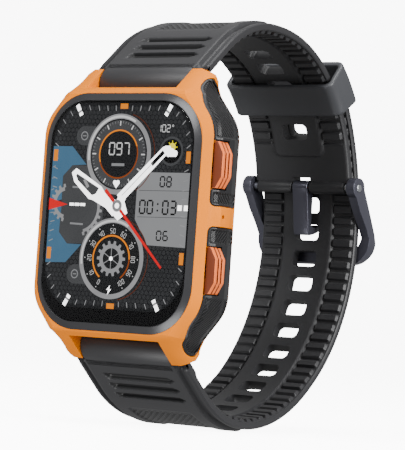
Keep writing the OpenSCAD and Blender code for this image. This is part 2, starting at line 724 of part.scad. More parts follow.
// ---------- keeper and buckle ----------

// Centre of the circle through three points
function circle_centre(p, q, r) = let (
  d = 2 * (p[0] * (q[1] - r[1]) + q[0] * (r[1] - p[1]) + r[0] * (p[1] - q[1])),
  pp = p * p, qq = q * q, rr = r * r)
  [pp * (q[1] - r[1]) + qq * (r[1] - p[1]) + rr * (p[1] - q[1]),
   pp * (r[0] - q[0]) + qq * (p[0] - r[0]) + rr * (q[0] - p[0])] / d;

function keeper_pt(t) = back_pt(t, 0, short_back, crest[1], short_power);
keeper_c = circle_centre(keeper_pt(keeper_t - 8), keeper_pt(keeper_t), keeper_pt(keeper_t + 8));
keeper_dir = keeper_pt(keeper_t) - keeper_c;
keeper_in_w = strap_w_back + 0.9;
keeper_in_h = 2 * strap_t + 1.5;
keeper_lift = 0.4;           // middle of the keeper's opening outside the short strap's face
keeper_angle = keeper_l / norm(keeper_dir) * 180 / PI;

// Box loop bent round the axis on which it runs along the strap
module keeper() {
  color("#3c3e40") place() translate([0, keeper_c[0], keeper_c[1]]) rotate([0, 90, 0])
    rotate([0, 0, 90 + atan2(keeper_dir[1], keeper_dir[0]) - keeper_angle / 2])
      rotate_extrude(angle = keeper_angle)
      translate([norm(keeper_dir) + keeper_lift, 0]) difference() {
        plate_outline(keeper_in_h + 2 * keeper_wall, keeper_in_w + 2 * keeper_wall, 2);
        plate_outline(keeper_in_h, keeper_in_w, 0.9);
      }
}

// Curved frame: its outline from the front cut by its outline from the side
module buckle_frame() {
  reach = 15;
  bar_in = crest[0] + loop_back + 0.35 - buckle_y;  // the bar clears the strap's outer face
  color("#3b3b42") place() translate([0, buckle_y, buckle_z]) difference() {
    union() {
      for (x = [-leg_out_x, leg_in_x]) rod(2, x, x + buckle_leg, 0, 0);
      intersection() {
        translate([0, 20, 0]) rotate([90, 0, 0]) linear_extrude(40) difference() {
          translate([0, 5 - reach / 2]) plate_outline(2 * leg_out_x, reach + 10, 5);
          translate([0, -4.4]) plate_outline(2 * leg_in_x, 2 * (reach - 4.4 - 2.7), 3.2);
          translate([-leg_in_x, -3]) square([2 * leg_in_x, 20]);
        }
        across(40) polygon([[-1.4, -0.9], [0, 1.2], [1.6, 0.6], [4.6, -4.6], [6.8, -8.6], [7.4, -10.4],
          [7.4, -12.4], [6.9, -14.4], [5.9, -15.2], [bar_in, -14.6], [bar_in, -9.4], [3.6, -7.6], [0.9,
            -4.4]]);
      }
    }
    rod(buckle_pin_r + run_gap, -30, 30, 0, 0);
  }
}

module buckle_pin() {
  color("#8a8c92") place() rod(buckle_pin_r, -leg_out_x - 0.1, leg_out_x + 0.1, buckle_y, buckle_z);
}

// Tongue: a roll on the pin, a run down the inside of the strap and an arc through its hole
module buckle_tongue() {
  arc_r = buckle_z - tongue_hole_z + 0.75;
  inner_r = arc_r - tongue_t;
  color("#43444c") place() translate([0, buckle_y, buckle_z]) difference() {
    across(tongue_w) {
      circle(buckle_roll_r);
      polygon(concat([[-buckle_roll_r, 0], [-0.9, -1.6], [0.15, -inner_r + 0.2]],
        [for (a = [4:4:28]) arc_r * [sin(a), -cos(a)]],
        [for (a = [28:-4:16]) inner_r * [sin(a), -cos(a)]],
        [[1.35, -inner_r + 0.9], [1.25, -2], [buckle_roll_r, 0]]));
    }
    rod(buckle_pin_r + run_gap, -30, 30, 0, 0);
  }
}

// Moves a part from the front plane's frame to the middle of the wrist opening
module place() {
  translate([0, -wrist_y, 0]) children();
}

case_frame();
bezel_ring();
cover_glass();
display_panel();
display_gasket();
inner_frame();
insert_right_upper();
insert_right_lower();
insert_left_upper();
insert_left_lower();
button_upper();
button_lower();
button_upper_spring();
button_lower_spring();
button_upper_o_ring();
button_lower_o_ring();
button_upper_clip();
button_lower_clip();
side_key_flex();
microphone();
speaker();
main_board();
battery();
display_flex();
gps_antenna();
vibration_motor();
sensor_board();
rear_gasket();
rear_cover();
sensor_window();
charging_pads();
rear_screws();
spring_bar_upper();
spring_bar_lower();
bar_spring_upper();
bar_spring_lower();
bar_tip_upper_right();
bar_tip_upper_left();
bar_tip_lower_right();
bar_tip_lower_left();
strap_short();
strap_long();
keeper();
buckle_frame();
buckle_pin();
buckle_tongue();
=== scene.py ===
# %% [markdown]
# # A rugged square sports watch, dressed for its picture
# The CAD part gives the fixed frame of the watch. This lesson builds the looks around it: moulded
# rubber straps, ribbed side inserts, an anodised case, a lit display and a dark metal buckle.
# Everything is measured in the part's own frame: +Z is twelve o'clock, -Y looks out of the display.

# %% Load the frame
import json
import math

import bmesh
import bpy
import numpy as np
from mathutils import Matrix, Vector

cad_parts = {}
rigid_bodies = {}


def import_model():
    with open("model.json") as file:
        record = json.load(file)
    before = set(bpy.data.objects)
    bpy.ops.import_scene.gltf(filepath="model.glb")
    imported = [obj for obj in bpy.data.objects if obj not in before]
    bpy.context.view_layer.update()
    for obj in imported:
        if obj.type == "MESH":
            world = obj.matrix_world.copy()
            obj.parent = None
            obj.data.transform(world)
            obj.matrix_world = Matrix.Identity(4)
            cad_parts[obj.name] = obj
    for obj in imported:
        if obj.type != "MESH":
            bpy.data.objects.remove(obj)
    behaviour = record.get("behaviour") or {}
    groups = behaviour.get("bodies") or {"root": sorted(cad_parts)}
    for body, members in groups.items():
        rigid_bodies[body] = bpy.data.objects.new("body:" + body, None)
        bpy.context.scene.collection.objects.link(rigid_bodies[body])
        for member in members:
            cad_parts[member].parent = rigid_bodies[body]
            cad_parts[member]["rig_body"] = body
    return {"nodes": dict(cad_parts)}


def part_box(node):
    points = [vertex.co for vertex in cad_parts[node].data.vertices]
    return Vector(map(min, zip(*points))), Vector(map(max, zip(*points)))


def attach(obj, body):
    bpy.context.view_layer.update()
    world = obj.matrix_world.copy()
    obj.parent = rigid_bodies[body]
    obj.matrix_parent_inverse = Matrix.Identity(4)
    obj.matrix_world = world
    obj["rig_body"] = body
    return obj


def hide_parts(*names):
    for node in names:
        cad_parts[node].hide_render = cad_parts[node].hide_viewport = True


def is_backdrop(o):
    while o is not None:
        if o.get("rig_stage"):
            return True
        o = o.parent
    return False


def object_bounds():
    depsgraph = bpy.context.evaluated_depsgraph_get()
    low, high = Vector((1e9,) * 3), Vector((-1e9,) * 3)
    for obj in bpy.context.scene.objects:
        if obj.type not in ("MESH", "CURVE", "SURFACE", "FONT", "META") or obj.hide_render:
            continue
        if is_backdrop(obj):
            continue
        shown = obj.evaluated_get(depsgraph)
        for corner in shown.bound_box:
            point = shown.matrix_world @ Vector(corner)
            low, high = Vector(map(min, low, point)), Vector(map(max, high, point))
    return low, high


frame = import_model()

SIZE = {"cad": [list(v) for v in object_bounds()]}
print("CAD box in metres:", SIZE["cad"])

# %% [markdown]
# ## Units
# Watch parts are drawn in millimetres, Blender works in metres. One constant turns one into the other,
# and the front plane of the case gives the zero for every depth.

# %% Units and datum planes
MM = 0.001
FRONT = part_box("case_frame")[0].y / MM      # front plane of the case, in mm
SOFT_ANGLE = 38                             # rubber edges sharper than this, in degrees, stay sharp
print("front plane of the case at y =", round(FRONT, 3), "mm")

# %% [markdown]
# ## Small tools
# A colour is written as the hex code a designer would pick, and one function turns it into the linear
# light that the shader needs. A second function makes a mesh from plain arrays, because arrays let a
# whole strap be computed at once.

# %% Colour and mesh helpers
def linear(code):
    """Hex sRGB colour to linear RGBA: the curve is a straight line near black and a 2.4 power above."""
    c = np.array([int(code[i:i + 2], 16) / 255 for i in (1, 3, 5)])
    c = np.where(c <= 0.04045, c / 12.92, ((c + 0.055) / 1.055) ** 2.4)
    return (*map(float, c), 1.0)


def make(name, verts, faces, mat, body, replaces=(), smooth=True, uv=None, attrs=None):
    """Mesh object from points in mm and a face list; it rides on a CAD body and may stand for CAD nodes."""
    mesh = bpy.data.meshes.new(name)
    mesh.from_pydata((np.asarray(verts, float) * MM).tolist(), [], [list(map(int, f)) for f in faces])
    mesh.update()
    for key, values in (attrs or {}).items():
        mesh.attributes.new(key, "FLOAT", "POINT").data.foreach_set("value", np.asarray(values, np.float32))
    if uv is not None:
        loops = np.zeros(len(mesh.loops), np.int32)
        mesh.loops.foreach_get("vertex_index", loops)
        layer = mesh.uv_layers.new(name="plan")
        layer.data.foreach_set("uv", (np.asarray(uv, np.float32)[loops] * MM).ravel())
    obj = bpy.data.objects.new(name, mesh)
    bpy.context.scene.collection.objects.link(obj)
    if mat is not None:
        mesh.materials.append(mat)
    if smooth:
        mesh.polygons.foreach_set("use_smooth", np.ones(len(mesh.polygons), bool))
        if smooth is not True:
            mesh.set_sharp_from_angle(angle=math.radians(smooth))
    if body:
        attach(obj, body)
        if replaces:
            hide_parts(*replaces)
    return obj


def sheet_faces(rows, cols, wrap=False):
    """Quads of a grid of rows x cols points; wrap joins the last column to the first."""
    i = np.arange(rows - 1)[:, None]
    j = np.arange(cols if wrap else cols - 1)[None, :]
    k = (j + 1) % cols
    a, b, c, d = i * cols + j, i * cols + k, (i + 1) * cols + k, (i + 1) * cols + j
    return np.stack([np.broadcast_to(q, (rows - 1, j.shape[1])).ravel() for q in (a, b, c, d)], 1)


# %% [markdown]
# ## Materials
# Real surfaces are never one flat value. Each finish here is a principled shader whose colour and
# roughness drift a little over a few millimetres and whose surface carries a fine grain as a bump.

# %% Node helper and base finish
def add(tree, kind, links=(), **values):
    """One shader node: values go on sockets by name or number, or on properties.
    Each link is a pair of a socket here and an output of another node."""
    node = tree.nodes.new(kind)
    for key, value in values.items():
        if hasattr(node, key):
            setattr(node, key, value)
        else:
            numbered = key[0] == "i" and key[1:].isdigit()
            socket = int(key[1:]) if numbered else key.replace("_", " ")
            node.inputs[socket].default_value = value
    for socket, output in links:
        tree.links.new(output, node.inputs[socket])
    return node


def finish(name, colour, rough, metallic=0.0, ior=1.5, grain_mm=0.25, grain=0.05, drift=0.06, coat=0.0,
           light=0.0, sheen=0.0, soften_mm=0.0, specular=0.5):
    """Principled material. Colour drifts by `drift`, grain is a bump of that size and strength."""
    mat = bpy.data.materials.new(name)
    mat.use_nodes = True
    tree = mat.node_tree
    tree.nodes.clear()
    where = add(tree, "ShaderNodeTexCoord").outputs["Object"]
    slow = add(tree, "ShaderNodeTexNoise", [("Vector", where)], Scale=1 / (4 * MM), Detail=3.0)
    fine = add(tree, "ShaderNodeTexNoise", [("Vector", where)], Scale=1 / (grain_mm * MM), Detail=2.0)
    base = linear(colour)
    far = tuple(min(1, c * (1 + 2 * drift)) for c in base[:3]) + (1.0,)
    near = tuple(c * (1 - 2 * drift) for c in base[:3]) + (1.0,)
    tint = add(tree, "ShaderNodeMix", [("Factor", slow.outputs["Fac"])], data_type="RGBA", i6=near, i7=far)
    tone = add(tree, "ShaderNodeMapRange", [("Value", fine.outputs["Fac"])],
               To_Min=max(0.02, rough * (1 - drift * 2)), To_Max=min(1, rough * (1 + drift * 2)))
    bump = add(tree, "ShaderNodeBump", [("Height", fine.outputs["Fac"])], Strength=grain, Distance=0.05 * MM)
    if soften_mm:
        soft = add(tree, "ShaderNodeBevel", samples=4, Radius=soften_mm * MM)
        tree.links.new(soft.outputs[0], bump.inputs["Normal"])
    shader = add(tree, "ShaderNodeBsdfPrincipled", [
        ("Base Color", tint.outputs[2]), ("Roughness", tone.outputs["Result"]), ("Normal", bump.outputs[0])],
        Metallic=metallic, IOR=ior, Coat_Weight=coat, Coat_Roughness=0.08, Sheen_Weight=sheen,
        Specular_IOR_Level=specular)
    if light:
        tree.links.new(tint.outputs[2], shader.inputs["Emission Color"])
        shader.inputs["Emission Strength"].default_value = light
    add(tree, "ShaderNodeOutputMaterial", [("Surface", shader.outputs[0])])
    mat["tint"], mat["bump"], mat["shader"] = tint.name, bump.name, shader.name
    return mat


# %% [markdown]
# ## Finishes by name
# The frame is anodised aluminium: dye in a clear oxide, so the orange is even and its gloss is soft.
# The ring round the glass is steel with a dark vapour-deposited skin. Inside are nylon, foil, board and gold,
# each with the grain that its making leaves. One call per finish keeps the colours side by side.

# %% Finishes of the case
ORANGE = finish("anodised_aluminium_orange", "#d27200", 0.5, 0.0, 1.5, 0.12, 0.04, 0.02, specular=0.06)
BLACK_METAL = finish("black_pvd_steel_satin", "#2c2c2e", 0.3, 0.3, 1.5, 0.15, 0.03, 0.03)
BUCKLE = finish("gunmetal_pvd_steel_polished", "#4a4a54", 0.3, 0.6, 1.5, 0.2, 0.02, 0.03)
STEEL = finish("stainless_steel_turned", "#b9bcc0", 0.3, 1.0, 2.5, 0.1, 0.05, 0.03, soften_mm=0.05)
PLASTIC = finish("glass_filled_nylon_moulded", "#232527", 0.5, 0.0, 1.5, 0.2, 0.08, 0.04, soften_mm=0.1)
SEAL = finish("nitrile_rubber_seal", "#17181a", 0.62, 0.0, 1.52, 0.2, 0.06, 0.04, soften_mm=0.05)
BOARD = finish("fr4_solder_mask_green", "#1f5a3a", 0.45, 0.0, 1.55, 0.3, 0.08, 0.05, soften_mm=0.05)
FLEX = finish("polyimide_flex_amber", "#a5692a", 0.4, 0.0, 1.6, 0.3, 0.05, 0.05)
FOIL = finish("battery_pouch_foil", "#b9bcc2", 0.42, 0.8, 1.5, 0.5, 0.2, 0.05, soften_mm=0.2)
GOLD = finish("gold_plated_contact", "#d9b25a", 0.28, 1.0, 1.5, 0.1, 0.03, 0.03)
LENS = finish("smoked_polycarbonate_lens", "#0d1114", 0.12, 0.0, 1.58, 0.3, 0.01, 0.03, coat=0.4)
print("materials so far:", len(bpy.data.materials))


# %% [markdown]
# ## Patterned rubber
# The strap and the inserts are moulded silicone and carry fine ribs that are far smaller than the part.
# Cutting each rib as geometry would waste faces, so a wave over the piece's own flat plan, stored as a
# UV map in millimetres, drives both the bump and a painted shade in the valleys. A mask keeps it in place.

# %% Ribbed rubber finish
def ribbed(name, colour, valley_shade, rough, pitch_mm, across, depth_mm, shine):
    """Rubber with ribs: phase is the plan position along `across` over the pitch; mask limits them."""
    mat = finish(name, colour, rough, 0.0, 1.43, 0.22, 0.10, 0.04, sheen=0.04, specular=shine)
    tree = mat.node_tree
    plan = add(tree, "ShaderNodeUVMap", uv_map="plan")
    lined = add(tree, "ShaderNodeVectorMath", [(0, plan.outputs[0])], operation="DOT_PRODUCT")
    unit = np.array(across, float) / np.linalg.norm(across)
    lined.inputs[1].default_value = (*(unit * 2 * math.pi / (pitch_mm * MM)), 0)
    wave = add(tree, "ShaderNodeMath", [(0, lined.outputs["Value"])], operation="SINE")
    shape = add(tree, "ShaderNodeMapRange", [("Value", wave.outputs[0])], From_Min=-0.5, From_Max=0.5)
    where = add(tree, "ShaderNodeAttribute", attribute_name="ribs")
    inside = add(tree, "ShaderNodeMath", [(0, where.outputs["Fac"])], operation="MULTIPLY")
    flip = add(tree, "ShaderNodeMath", [(1, shape.outputs[0])], operation="SUBTRACT", i0=1.0)
    tree.links.new(flip.outputs[0], inside.inputs[1])
    plain = tree.nodes[mat["tint"]].outputs[2]
    # painted shade: the rib valleys take the darker colour
    dark = add(tree, "ShaderNodeMix", [("Factor", inside.outputs[0]), (6, plain)],
               data_type="RGBA", i7=linear(valley_shade))
    # painted shade: the sunk bars and the low ground beside the raised panel take the same dark colour
    sunk = add(tree, "ShaderNodeAttribute", attribute_name="deep")
    dark = add(tree, "ShaderNodeMix", [("Factor", sunk.outputs["Fac"]), (6, dark.outputs[2])],
               data_type="RGBA", i7=linear(valley_shade))
    grain = tree.nodes[mat["bump"]].outputs[0]
    relief = add(tree, "ShaderNodeBump", [("Height", inside.outputs[0]), ("Normal", grain)],
                 invert=True, Strength=1.0, Distance=depth_mm * MM)
    shader = tree.nodes[mat["shader"]]
    tree.links.new(dark.outputs[2], shader.inputs["Base Color"])
    tree.links.new(relief.outputs[0], shader.inputs["Normal"])
    return mat


# the second colour of each rubber is painted shade in the rib valleys, and on the strap also in the sunk bars
STRAP = ribbed("silicone_rubber_strap_moulded", "#222224", "#030304", 0.46, 0.92, (1, 1), 0.45, 0.45)
INSERT = ribbed("silicone_rubber_insert_ribbed", "#151517", "#010102", 0.40, 0.80, (1, 0.0), 0.45, 0.4)

# %% [markdown]
# ## The strap's path
# Seen from the side the strap leaves the lug on a straight slope, bends over a round crest and then
# follows half an oval behind the wrist. The long strap runs on past the middle and climbs as a tail.
# Each path is a row of points with the outward normal and the distance walked from the spring bar.

# %% Path of a strap
PIVOT = np.array([6.2, 23.5])
SLOPE, LEAD, RISE, CREST_R, THICK, PLATEAU = math.radians(41), 10.3, 2.1, 23.5, 2.0, 0.5
RUN, OUT = np.array([math.cos(SLOPE), math.sin(SLOPE)]), np.array([-math.sin(SLOPE), math.cos(SLOPE)])
CREST = PIVOT + LEAD * RUN + RISE * OUT + CREST_R * np.array([math.sin(SLOPE), 1 - math.cos(SLOPE)])
LOOP, SHORT_LOOP, POWER, TAIL_RISE = 35.0, 32.3, 2.28, CREST[1] + 6.2
SHOULDER = 1.9


def oval(t, a, b, power):
    """Points of the oval x^power + y^power = 1 scaled to a and b, at angles t from the back, in degrees."""
    c, s = np.clip(np.cos(np.radians(t)), 0, None), np.clip(np.sin(np.radians(t)), 0, None)
    return np.stack([CREST[0] + a * c ** (2 / power), b * s ** (2 / power)], 1)


def walk(points, step):
    """Resamples a row of points at even steps and returns points, outward normals and distance."""
    d = np.r_[0, np.cumsum(np.linalg.norm(np.diff(points, axis=0), axis=1))]
    s = np.linspace(0, d[-1], int(d[-1] / step) + 1)
    p = np.stack([np.interp(s, d, points[:, k]) for k in (0, 1)], 1)
    t = np.gradient(p, axis=0)
    for _ in range(6):
        t[1:-1] = (t[:-2] + 2 * t[1:-1] + t[2:]) / 4
    t /= np.linalg.norm(t, axis=1)[:, None]
    return p, np.stack([-t[:, 1], t[:, 0]], 1), s + SHOULDER


def lead_and_crest():
    """Straight lead from the shoulder, then the arc over the crest."""
    line = PIVOT + np.linspace(SHOULDER, LEAD, 30)[:, None] * RUN + RISE * OUT
    a = np.linspace(SLOPE, 0, 60)[1:]
    arc = CREST - [0, CREST_R] + CREST_R * np.stack([-np.sin(a), np.cos(a)], 1)
    return np.vstack([line, arc])


SHORT_END, TAIL_END = 14.4, 44.0
short_back = oval(np.linspace(90, SHORT_END, 400)[1:], SHORT_LOOP, CREST[1], POWER)
short_curve = np.vstack([lead_and_crest(), short_back])
tail = oval(np.linspace(0, TAIL_END, 200)[1:], LOOP, TAIL_RISE, 2) * [1, -1]
long_curve = np.vstack([lead_and_crest(), oval(np.linspace(90, 0, 500)[1:], LOOP, CREST[1], 2), tail])
print("strap lengths, mm:", [round(float(walk(c, 0.5)[2][-1]), 1) for c in (short_curve, long_curve)])

# %% [markdown]
# ## Relief of the strap
# A moulded strap is a flat band with shallow relief. Outside there is a raised panel near the case with
# three sunk bars, then a field of fine slanting ribs. Inside, a smooth centre band lies between two
# ladders of tread bars, and the outer millimetres of the thickness form a plain edge. The relief is two
# height functions of the place across (x) and along (s); numbers below are depths from the outer face.

# %% Height functions
def ramp(v, lo, hi):
    """0 below lo, 1 above hi, a smooth step between."""
    t = np.clip((v - lo) / (hi - lo), 0, 1)
    return t * t * (3 - 2 * t)


def outer_depth(x, s, w):
    """Depth of the outer face: raised panel, its edge groove and three sunk bars with pointed ends."""
    edge = w / 2 - 2.1
    panel = (1 - ramp(np.abs(x), edge - 0.25, edge)) * (1 - ramp(s, 27.0, 30.0)) * PLATEAU
    groove = ramp(np.abs(x), edge + 0.02, edge + 0.2) * (1 - ramp(np.abs(x), w / 2 - 1.2, w / 2 - 0.9))
    groove = groove * (0.45 - 0.25 * ramp(s, 24, 34)) * (1 - ramp(s, 60, 70))
    rim = 0.25 * ramp(np.abs(x), w / 2 - 0.35, w / 2) ** 2
    nub = 1.1 * (1 - ramp(s, 2.4, 3.6)) * ramp(np.abs(x), edge - 0.1, edge + 0.4)
    sunk = 0
    for k in range(3):
        v = s - (6.1 + 2.6 * k)
        tip = np.clip((8.6 - x) / 1.5, 0, 1)
        inside = (1 - ramp(np.abs(v) - 0.72 * tip, -0.12, 0.05)) * ramp(x - 0.5 * v, -7.3, -6.9) * (x < 8.6)
        sunk = np.maximum(sunk, inside * np.minimum(1, tip + 0.25))
    step = 0.2 * ramp(s, 15.2, 15.5) * (1 - ramp(np.abs(x), edge - 3.2, edge - 2.9)) * (1 - ramp(s, 27, 30))
    return -panel + groove + rim + nub + 0.7 * sunk + step


def inner_depth(x, s, w, tread_to, panel=None):
    """Depth of the inner face: centre band, tread bars of one pitch, plain edge; panel ends the ladders."""
    band, edge, pitch, floor = 0.26 * w, w / 2 - 0.55, 2.28, THICK - 0.62
    centre = 1 - ramp(np.abs(x), band - 0.12, band + 0.1)
    bar = np.abs(((s / pitch) % 1) - 0.5) * pitch
    bar = 1 - ramp(bar, 0.62, 0.86)
    ends = ramp(np.abs(x), band + 0.25, band + 0.45) * (1 - ramp(np.abs(x), edge - 0.25, edge))
    on = (1 - ramp(s, tread_to - 0.2, tread_to + 0.2)) * ramp(s, 5.5, 6.5)
    depth = floor + (THICK - floor) * centre
    depth = np.maximum(depth, floor + (THICK - floor) * 0.92 * bar * ends)
    plain = THICK - 0.1 - 0.35 * ramp(np.abs(x), edge, w / 2) ** 2
    if panel:
        corner = np.hypot(np.clip(np.abs(x) - band + 1.6, 0, None), np.clip(s - panel + 1.6, 0, None)) - 1.6
        plain = (THICK - 0.45 + 0.45 * (1 - ramp(corner, -0.15, 0.25))
                 - 0.25 * ramp(np.abs(x), edge, w / 2) ** 2)
    return depth * on + plain * (1 - on)


# %% [markdown]
# ## Skinning the band
# The section is one closed loop of points: across the outer face, down the right edge, back across the
# inner face and up the left edge. Repeating it along the path makes a grid that closes round the band,
# so only the two ends need caps.

# %% Build a strap band
def width_at(depth):
    """Band width narrows in a straight line from 25 mm near the case to 22.1 mm behind the wrist."""
    return 25 - 2.9 * np.clip((depth - 14) / (CREST[0] + 22 - 14), 0, 1)


def band(curve, sign, tread_to, panel=None, step=0.22):
    """Points, faces, plan coordinates and rib mask of a strap band. sign -1 mirrors it downwards."""
    p, n, s = walk(curve, step)
    w = width_at(p[:, 0])[:, None]
    u = np.linspace(-1, 1, 89)
    x_in = np.linspace(0.98, -0.98, 73)
    xo, xi = u[None] * w / 2, x_in[None] * w / 2
    so, si = np.broadcast_to(s[:, None], xo.shape), np.broadcast_to(s[:, None], xi.shape)
    do, di = outer_depth(xo, so, w), inner_depth(xi, si, w, tread_to, panel)
    side = np.array([0.3, 0.75, 1.2])
    xr = np.broadcast_to(w / 2, (len(s), 3)) + np.array([0.0, 0.0, -0.05])
    dr = np.broadcast_to(side, xr.shape)
    x = np.hstack([xo, xr, xi, -xr[:, ::-1]])
    d = np.hstack([do, dr, di, dr[:, ::-1]])
    pts = np.stack([x, p[:, :1] - n[:, :1] * d, p[:, 1:] - n[:, 1:] * d], 2)
    cols = x.shape[1]
    faces = sheet_faces(len(s), cols, wrap=True)
    ends = [np.arange(cols)[::-1], np.arange(cols) + (len(s) - 1) * cols]
    plan = np.stack([x, np.broadcast_to(s[:, None], x.shape)], 2).reshape(-1, 2)
    edge = w / 2 - 2.1
    # painted shade: darker where the outer face lies below the raised panel, in the first 15 mm
    deep = np.hstack([np.clip((do + PLATEAU) / 0.5, 0, 1) * (np.abs(xo) < edge) * (so < 15),
                      np.zeros((len(s), cols - len(u)))])
    ribs = ramp(so, 16.0, 16.3) * (1 - ramp(np.abs(xo), edge - 3.4, edge - 3.1)) * (1 - ramp(so, 62, 64))
    ribs = np.hstack([ribs, np.zeros((len(s), cols - len(u)))])
    pts = pts.reshape(-1, 3) * [1, 1, sign] + [0, FRONT, 0]
    faces = [list(f) for f in faces] + [list(e) for e in ends]
    if sign < 0:
        faces = [f[::-1] for f in faces]
    return pts, faces, plan, ribs.ravel(), deep.ravel(), (p, n, s)


def eye_end(sign):
    """Narrow end with the roll round the spring bar, as an outline in the lead's own axes, 19.8 mm wide."""
    prof = np.array([[3.2, 2.6], [1.2, 2.6], [0.4, 2.45], [-0.3, 2.15], [-1.0, 1.6], [-1.5, 0.9],
                     [-1.75, 0.1], [-1.6, -0.7], [-1.1, -1.35], [-0.3, -1.72], [0.6, -1.6], [1.8, -0.2],
                     [3.2, 0.2]])
    half = 9.9
    yz = PIVOT + prof[:, :1] * RUN + prof[:, 1:] * OUT
    mid = yz.mean(0)
    rows = [(-half, 0.93), (-half + 0.25, 1), (half - 0.25, 1), (half, 0.93)]
    pts = np.vstack([np.c_[np.full(len(yz), x), mid + (yz - mid) * k] for x, k in rows])
    faces = [list(f) for f in sheet_faces(4, len(yz), wrap=True)]
    faces += [list(range(len(yz)))[::-1], [3 * len(yz) + i for i in range(len(yz))]]
    if sign < 0:
        faces = [f[::-1] for f in faces]
    return pts * [1, 1, sign] + [0, FRONT, 0], faces


PIN_AT = np.array([CREST[0] + SHORT_LOOP * 0.977 - THICK / 2 - 0.05, 9.8])


def pin_roll(x0, x1, r=1.28):
    """Half of the roll of the short strap round the buckle pin: a rod from x0 to x1 with softened ends."""
    rows = [(x0, r - 0.25), (x0 + 0.1, r - 0.07), (x0 + 0.25, r),
            (x1 - 0.25, r), (x1 - 0.1, r - 0.07), (x1, r - 0.25)]
    a = np.linspace(0, 2 * math.pi, 49)[:-1]
    pts = np.vstack([np.c_[np.full(48, x), PIN_AT[0] + k * np.cos(a), PIN_AT[1] + k * np.sin(a)]
                     for x, k in rows])
    faces = [list(f) for f in sheet_faces(len(rows), 48, wrap=True)]
    faces += [list(range(48)), [(len(rows) - 1) * 48 + i for i in range(48)]]
    return pts + [0, FRONT, 0], faces


# %% [markdown]
# ## Holes in the straps
# Each hole is a rounded slot punched square to the band. A slot-shaped bar goes through the band at its
# place and is subtracted, which keeps the walls of the hole clean where the relief changes beside it.

# %% Holes
def slots(track, places, sign, w=5.6, h=3.2, r=1.0):
    """One mesh of rounded-slot cutters through the band at the distances in `places`."""
    p, n, s = track
    a = np.linspace(0, 2 * math.pi, 33)[:-1]
    cx, cz = np.sign(np.round(np.cos(a), 6)), np.sign(np.round(np.sin(a), 6))
    ring = np.stack([cx * (w / 2 - r) + r * np.cos(a), cz * (h / 2 - r) + r * np.sin(a)], 1)
    verts, faces = [], []
    for at in places:
        i = int(np.argmin(np.abs(s - at)))
        t = np.array([n[i][1], -n[i][0]])
        mid = p[i] - n[i] * THICK / 2
        for depth in (-3.0, 3.0):
            yz = mid + ring[:, 1:] * t + n[i] * depth
            verts.append(np.c_[ring[:, 0], yz])
        k = len(faces) // 34 * 64
        faces += [[k + j, k + (j + 1) % 32, k + 32 + (j + 1) % 32, k + 32 + j] for j in range(32)]
        faces += [[k + j for j in range(32)][::-1], [k + 32 + j for j in range(32)]]
    pts = np.vstack(verts) * [1, 1, sign] + [0, FRONT, 0]
    return make("cutters", pts, faces, None, None, smooth=False)


def cut(obj, cutter):
    """Subtracts cutter from obj, keeps the result as the mesh and removes the cutter."""
    for each in (obj, cutter):
        bm = bmesh.new()
        bm.from_mesh(each.data)
        bmesh.ops.recalc_face_normals(bm, faces=bm.faces)
        bm.to_mesh(each.data)
        bm.free()
    mod = obj.modifiers.new("holes", "BOOLEAN")
    mod.object, mod.solver = cutter, "EXACT"
    mesh = bpy.data.meshes.new_from_object(obj.evaluated_get(bpy.context.evaluated_depsgraph_get()))
    obj.modifiers.clear()
    obj.data = mesh
    bpy.data.objects.remove(cutter)


def join(obj, pts, faces):
    """Adds closed shells to a mesh, turns every shell outwards and marks its sharp edges again."""
    extra = make("extra", pts, faces, STRAP, None)
    bm = bmesh.new()
    bm.from_mesh(obj.data)
    bm.from_mesh(extra.data)
    bmesh.ops.recalc_face_normals(bm, faces=bm.faces)
    bm.to_mesh(obj.data)
    bm.free()
    obj.data.set_sharp_from_angle(angle=math.radians(SOFT_ANGLE))
    bpy.data.objects.remove(extra)


def place_of(curve_track, target_z, after=0.0):
    """Distance along the path where it passes height target_z, past `after`."""
    p, n, s = curve_track
    ok = np.where(s > after, np.abs(p[:, 1] - target_z), 99)
    return float(s[int(np.argmin(ok))])


# %% [markdown]
# ## The two straps
# The long strap has fourteen holes at one pitch. The short one has five, a notch for the tongue and a roll
# round the buckle pin. Eyes and rolls are closed shells of their own, added after the holes are cut, so the
# subtraction never meets two shells that cross.

# %% Straps
PITCH, FIRST_HOLE = 5.4, 10.6        # between holes; from the short strap's end to its first hole
NOTCH_HALF, ROLL_HALF = 2.05, 10.3   # half widths of the tongue's notch and of the roll round the pin
pts, faces, plan, ribs, deep, track_long = band(long_curve, -1, 200.0)
strap_long = make("strap_long_rubber", pts, faces, STRAP, "strap_long_body",
                  ["strap_long"], SOFT_ANGLE, plan, {"ribs": ribs, "deep": deep})
tongue_at = place_of(track_long, -1.0, 60)
cut(strap_long, slots(track_long, [tongue_at + PITCH * k for k in range(-9, 5)], -1))
join(strap_long, *eye_end(-1))

pts, faces, plan, ribs, deep, track_short = band(short_curve, 1, 64.4, panel=67.0)
strap_short = make("strap_short_rubber", pts, faces, STRAP, "strap_short_body",
                   ["strap_short"], SOFT_ANGLE, plan, {"ribs": ribs, "deep": deep})
pin_y = FRONT + PIN_AT[0]
corners = [(x, y, z) for z in (6.8, 11.7) for y in (pin_y - 4, pin_y + 4) for x in (-NOTCH_HALF, NOTCH_HALF)]
box_sides = [(0, 2, 3, 1), (4, 5, 7, 6), (0, 1, 5, 4), (2, 6, 7, 3), (0, 4, 6, 2), (1, 3, 7, 5)]
cut(strap_short, make("notch", corners, box_sides, None, None, smooth=False))
cut(strap_short, slots(track_short, [track_short[2][-1] - FIRST_HOLE - PITCH * k for k in range(5)], 1))
join(strap_short, *eye_end(1))
for x0, x1 in ((-ROLL_HALF, -NOTCH_HALF), (NOTCH_HALF, ROLL_HALF)):
    join(strap_short, *pin_roll(x0, x1))
for o in (strap_long, strap_short):
    print(o.name, len(o.data.polygons), "faces")


# %% [markdown]
# ## Rounded copies
# Machined parts always have a small edge break that catches the light. A copy of the CAD mesh is welded,
# its flat regions are joined again and its sharp edges are bevelled by a tenth of a millimetre or more.

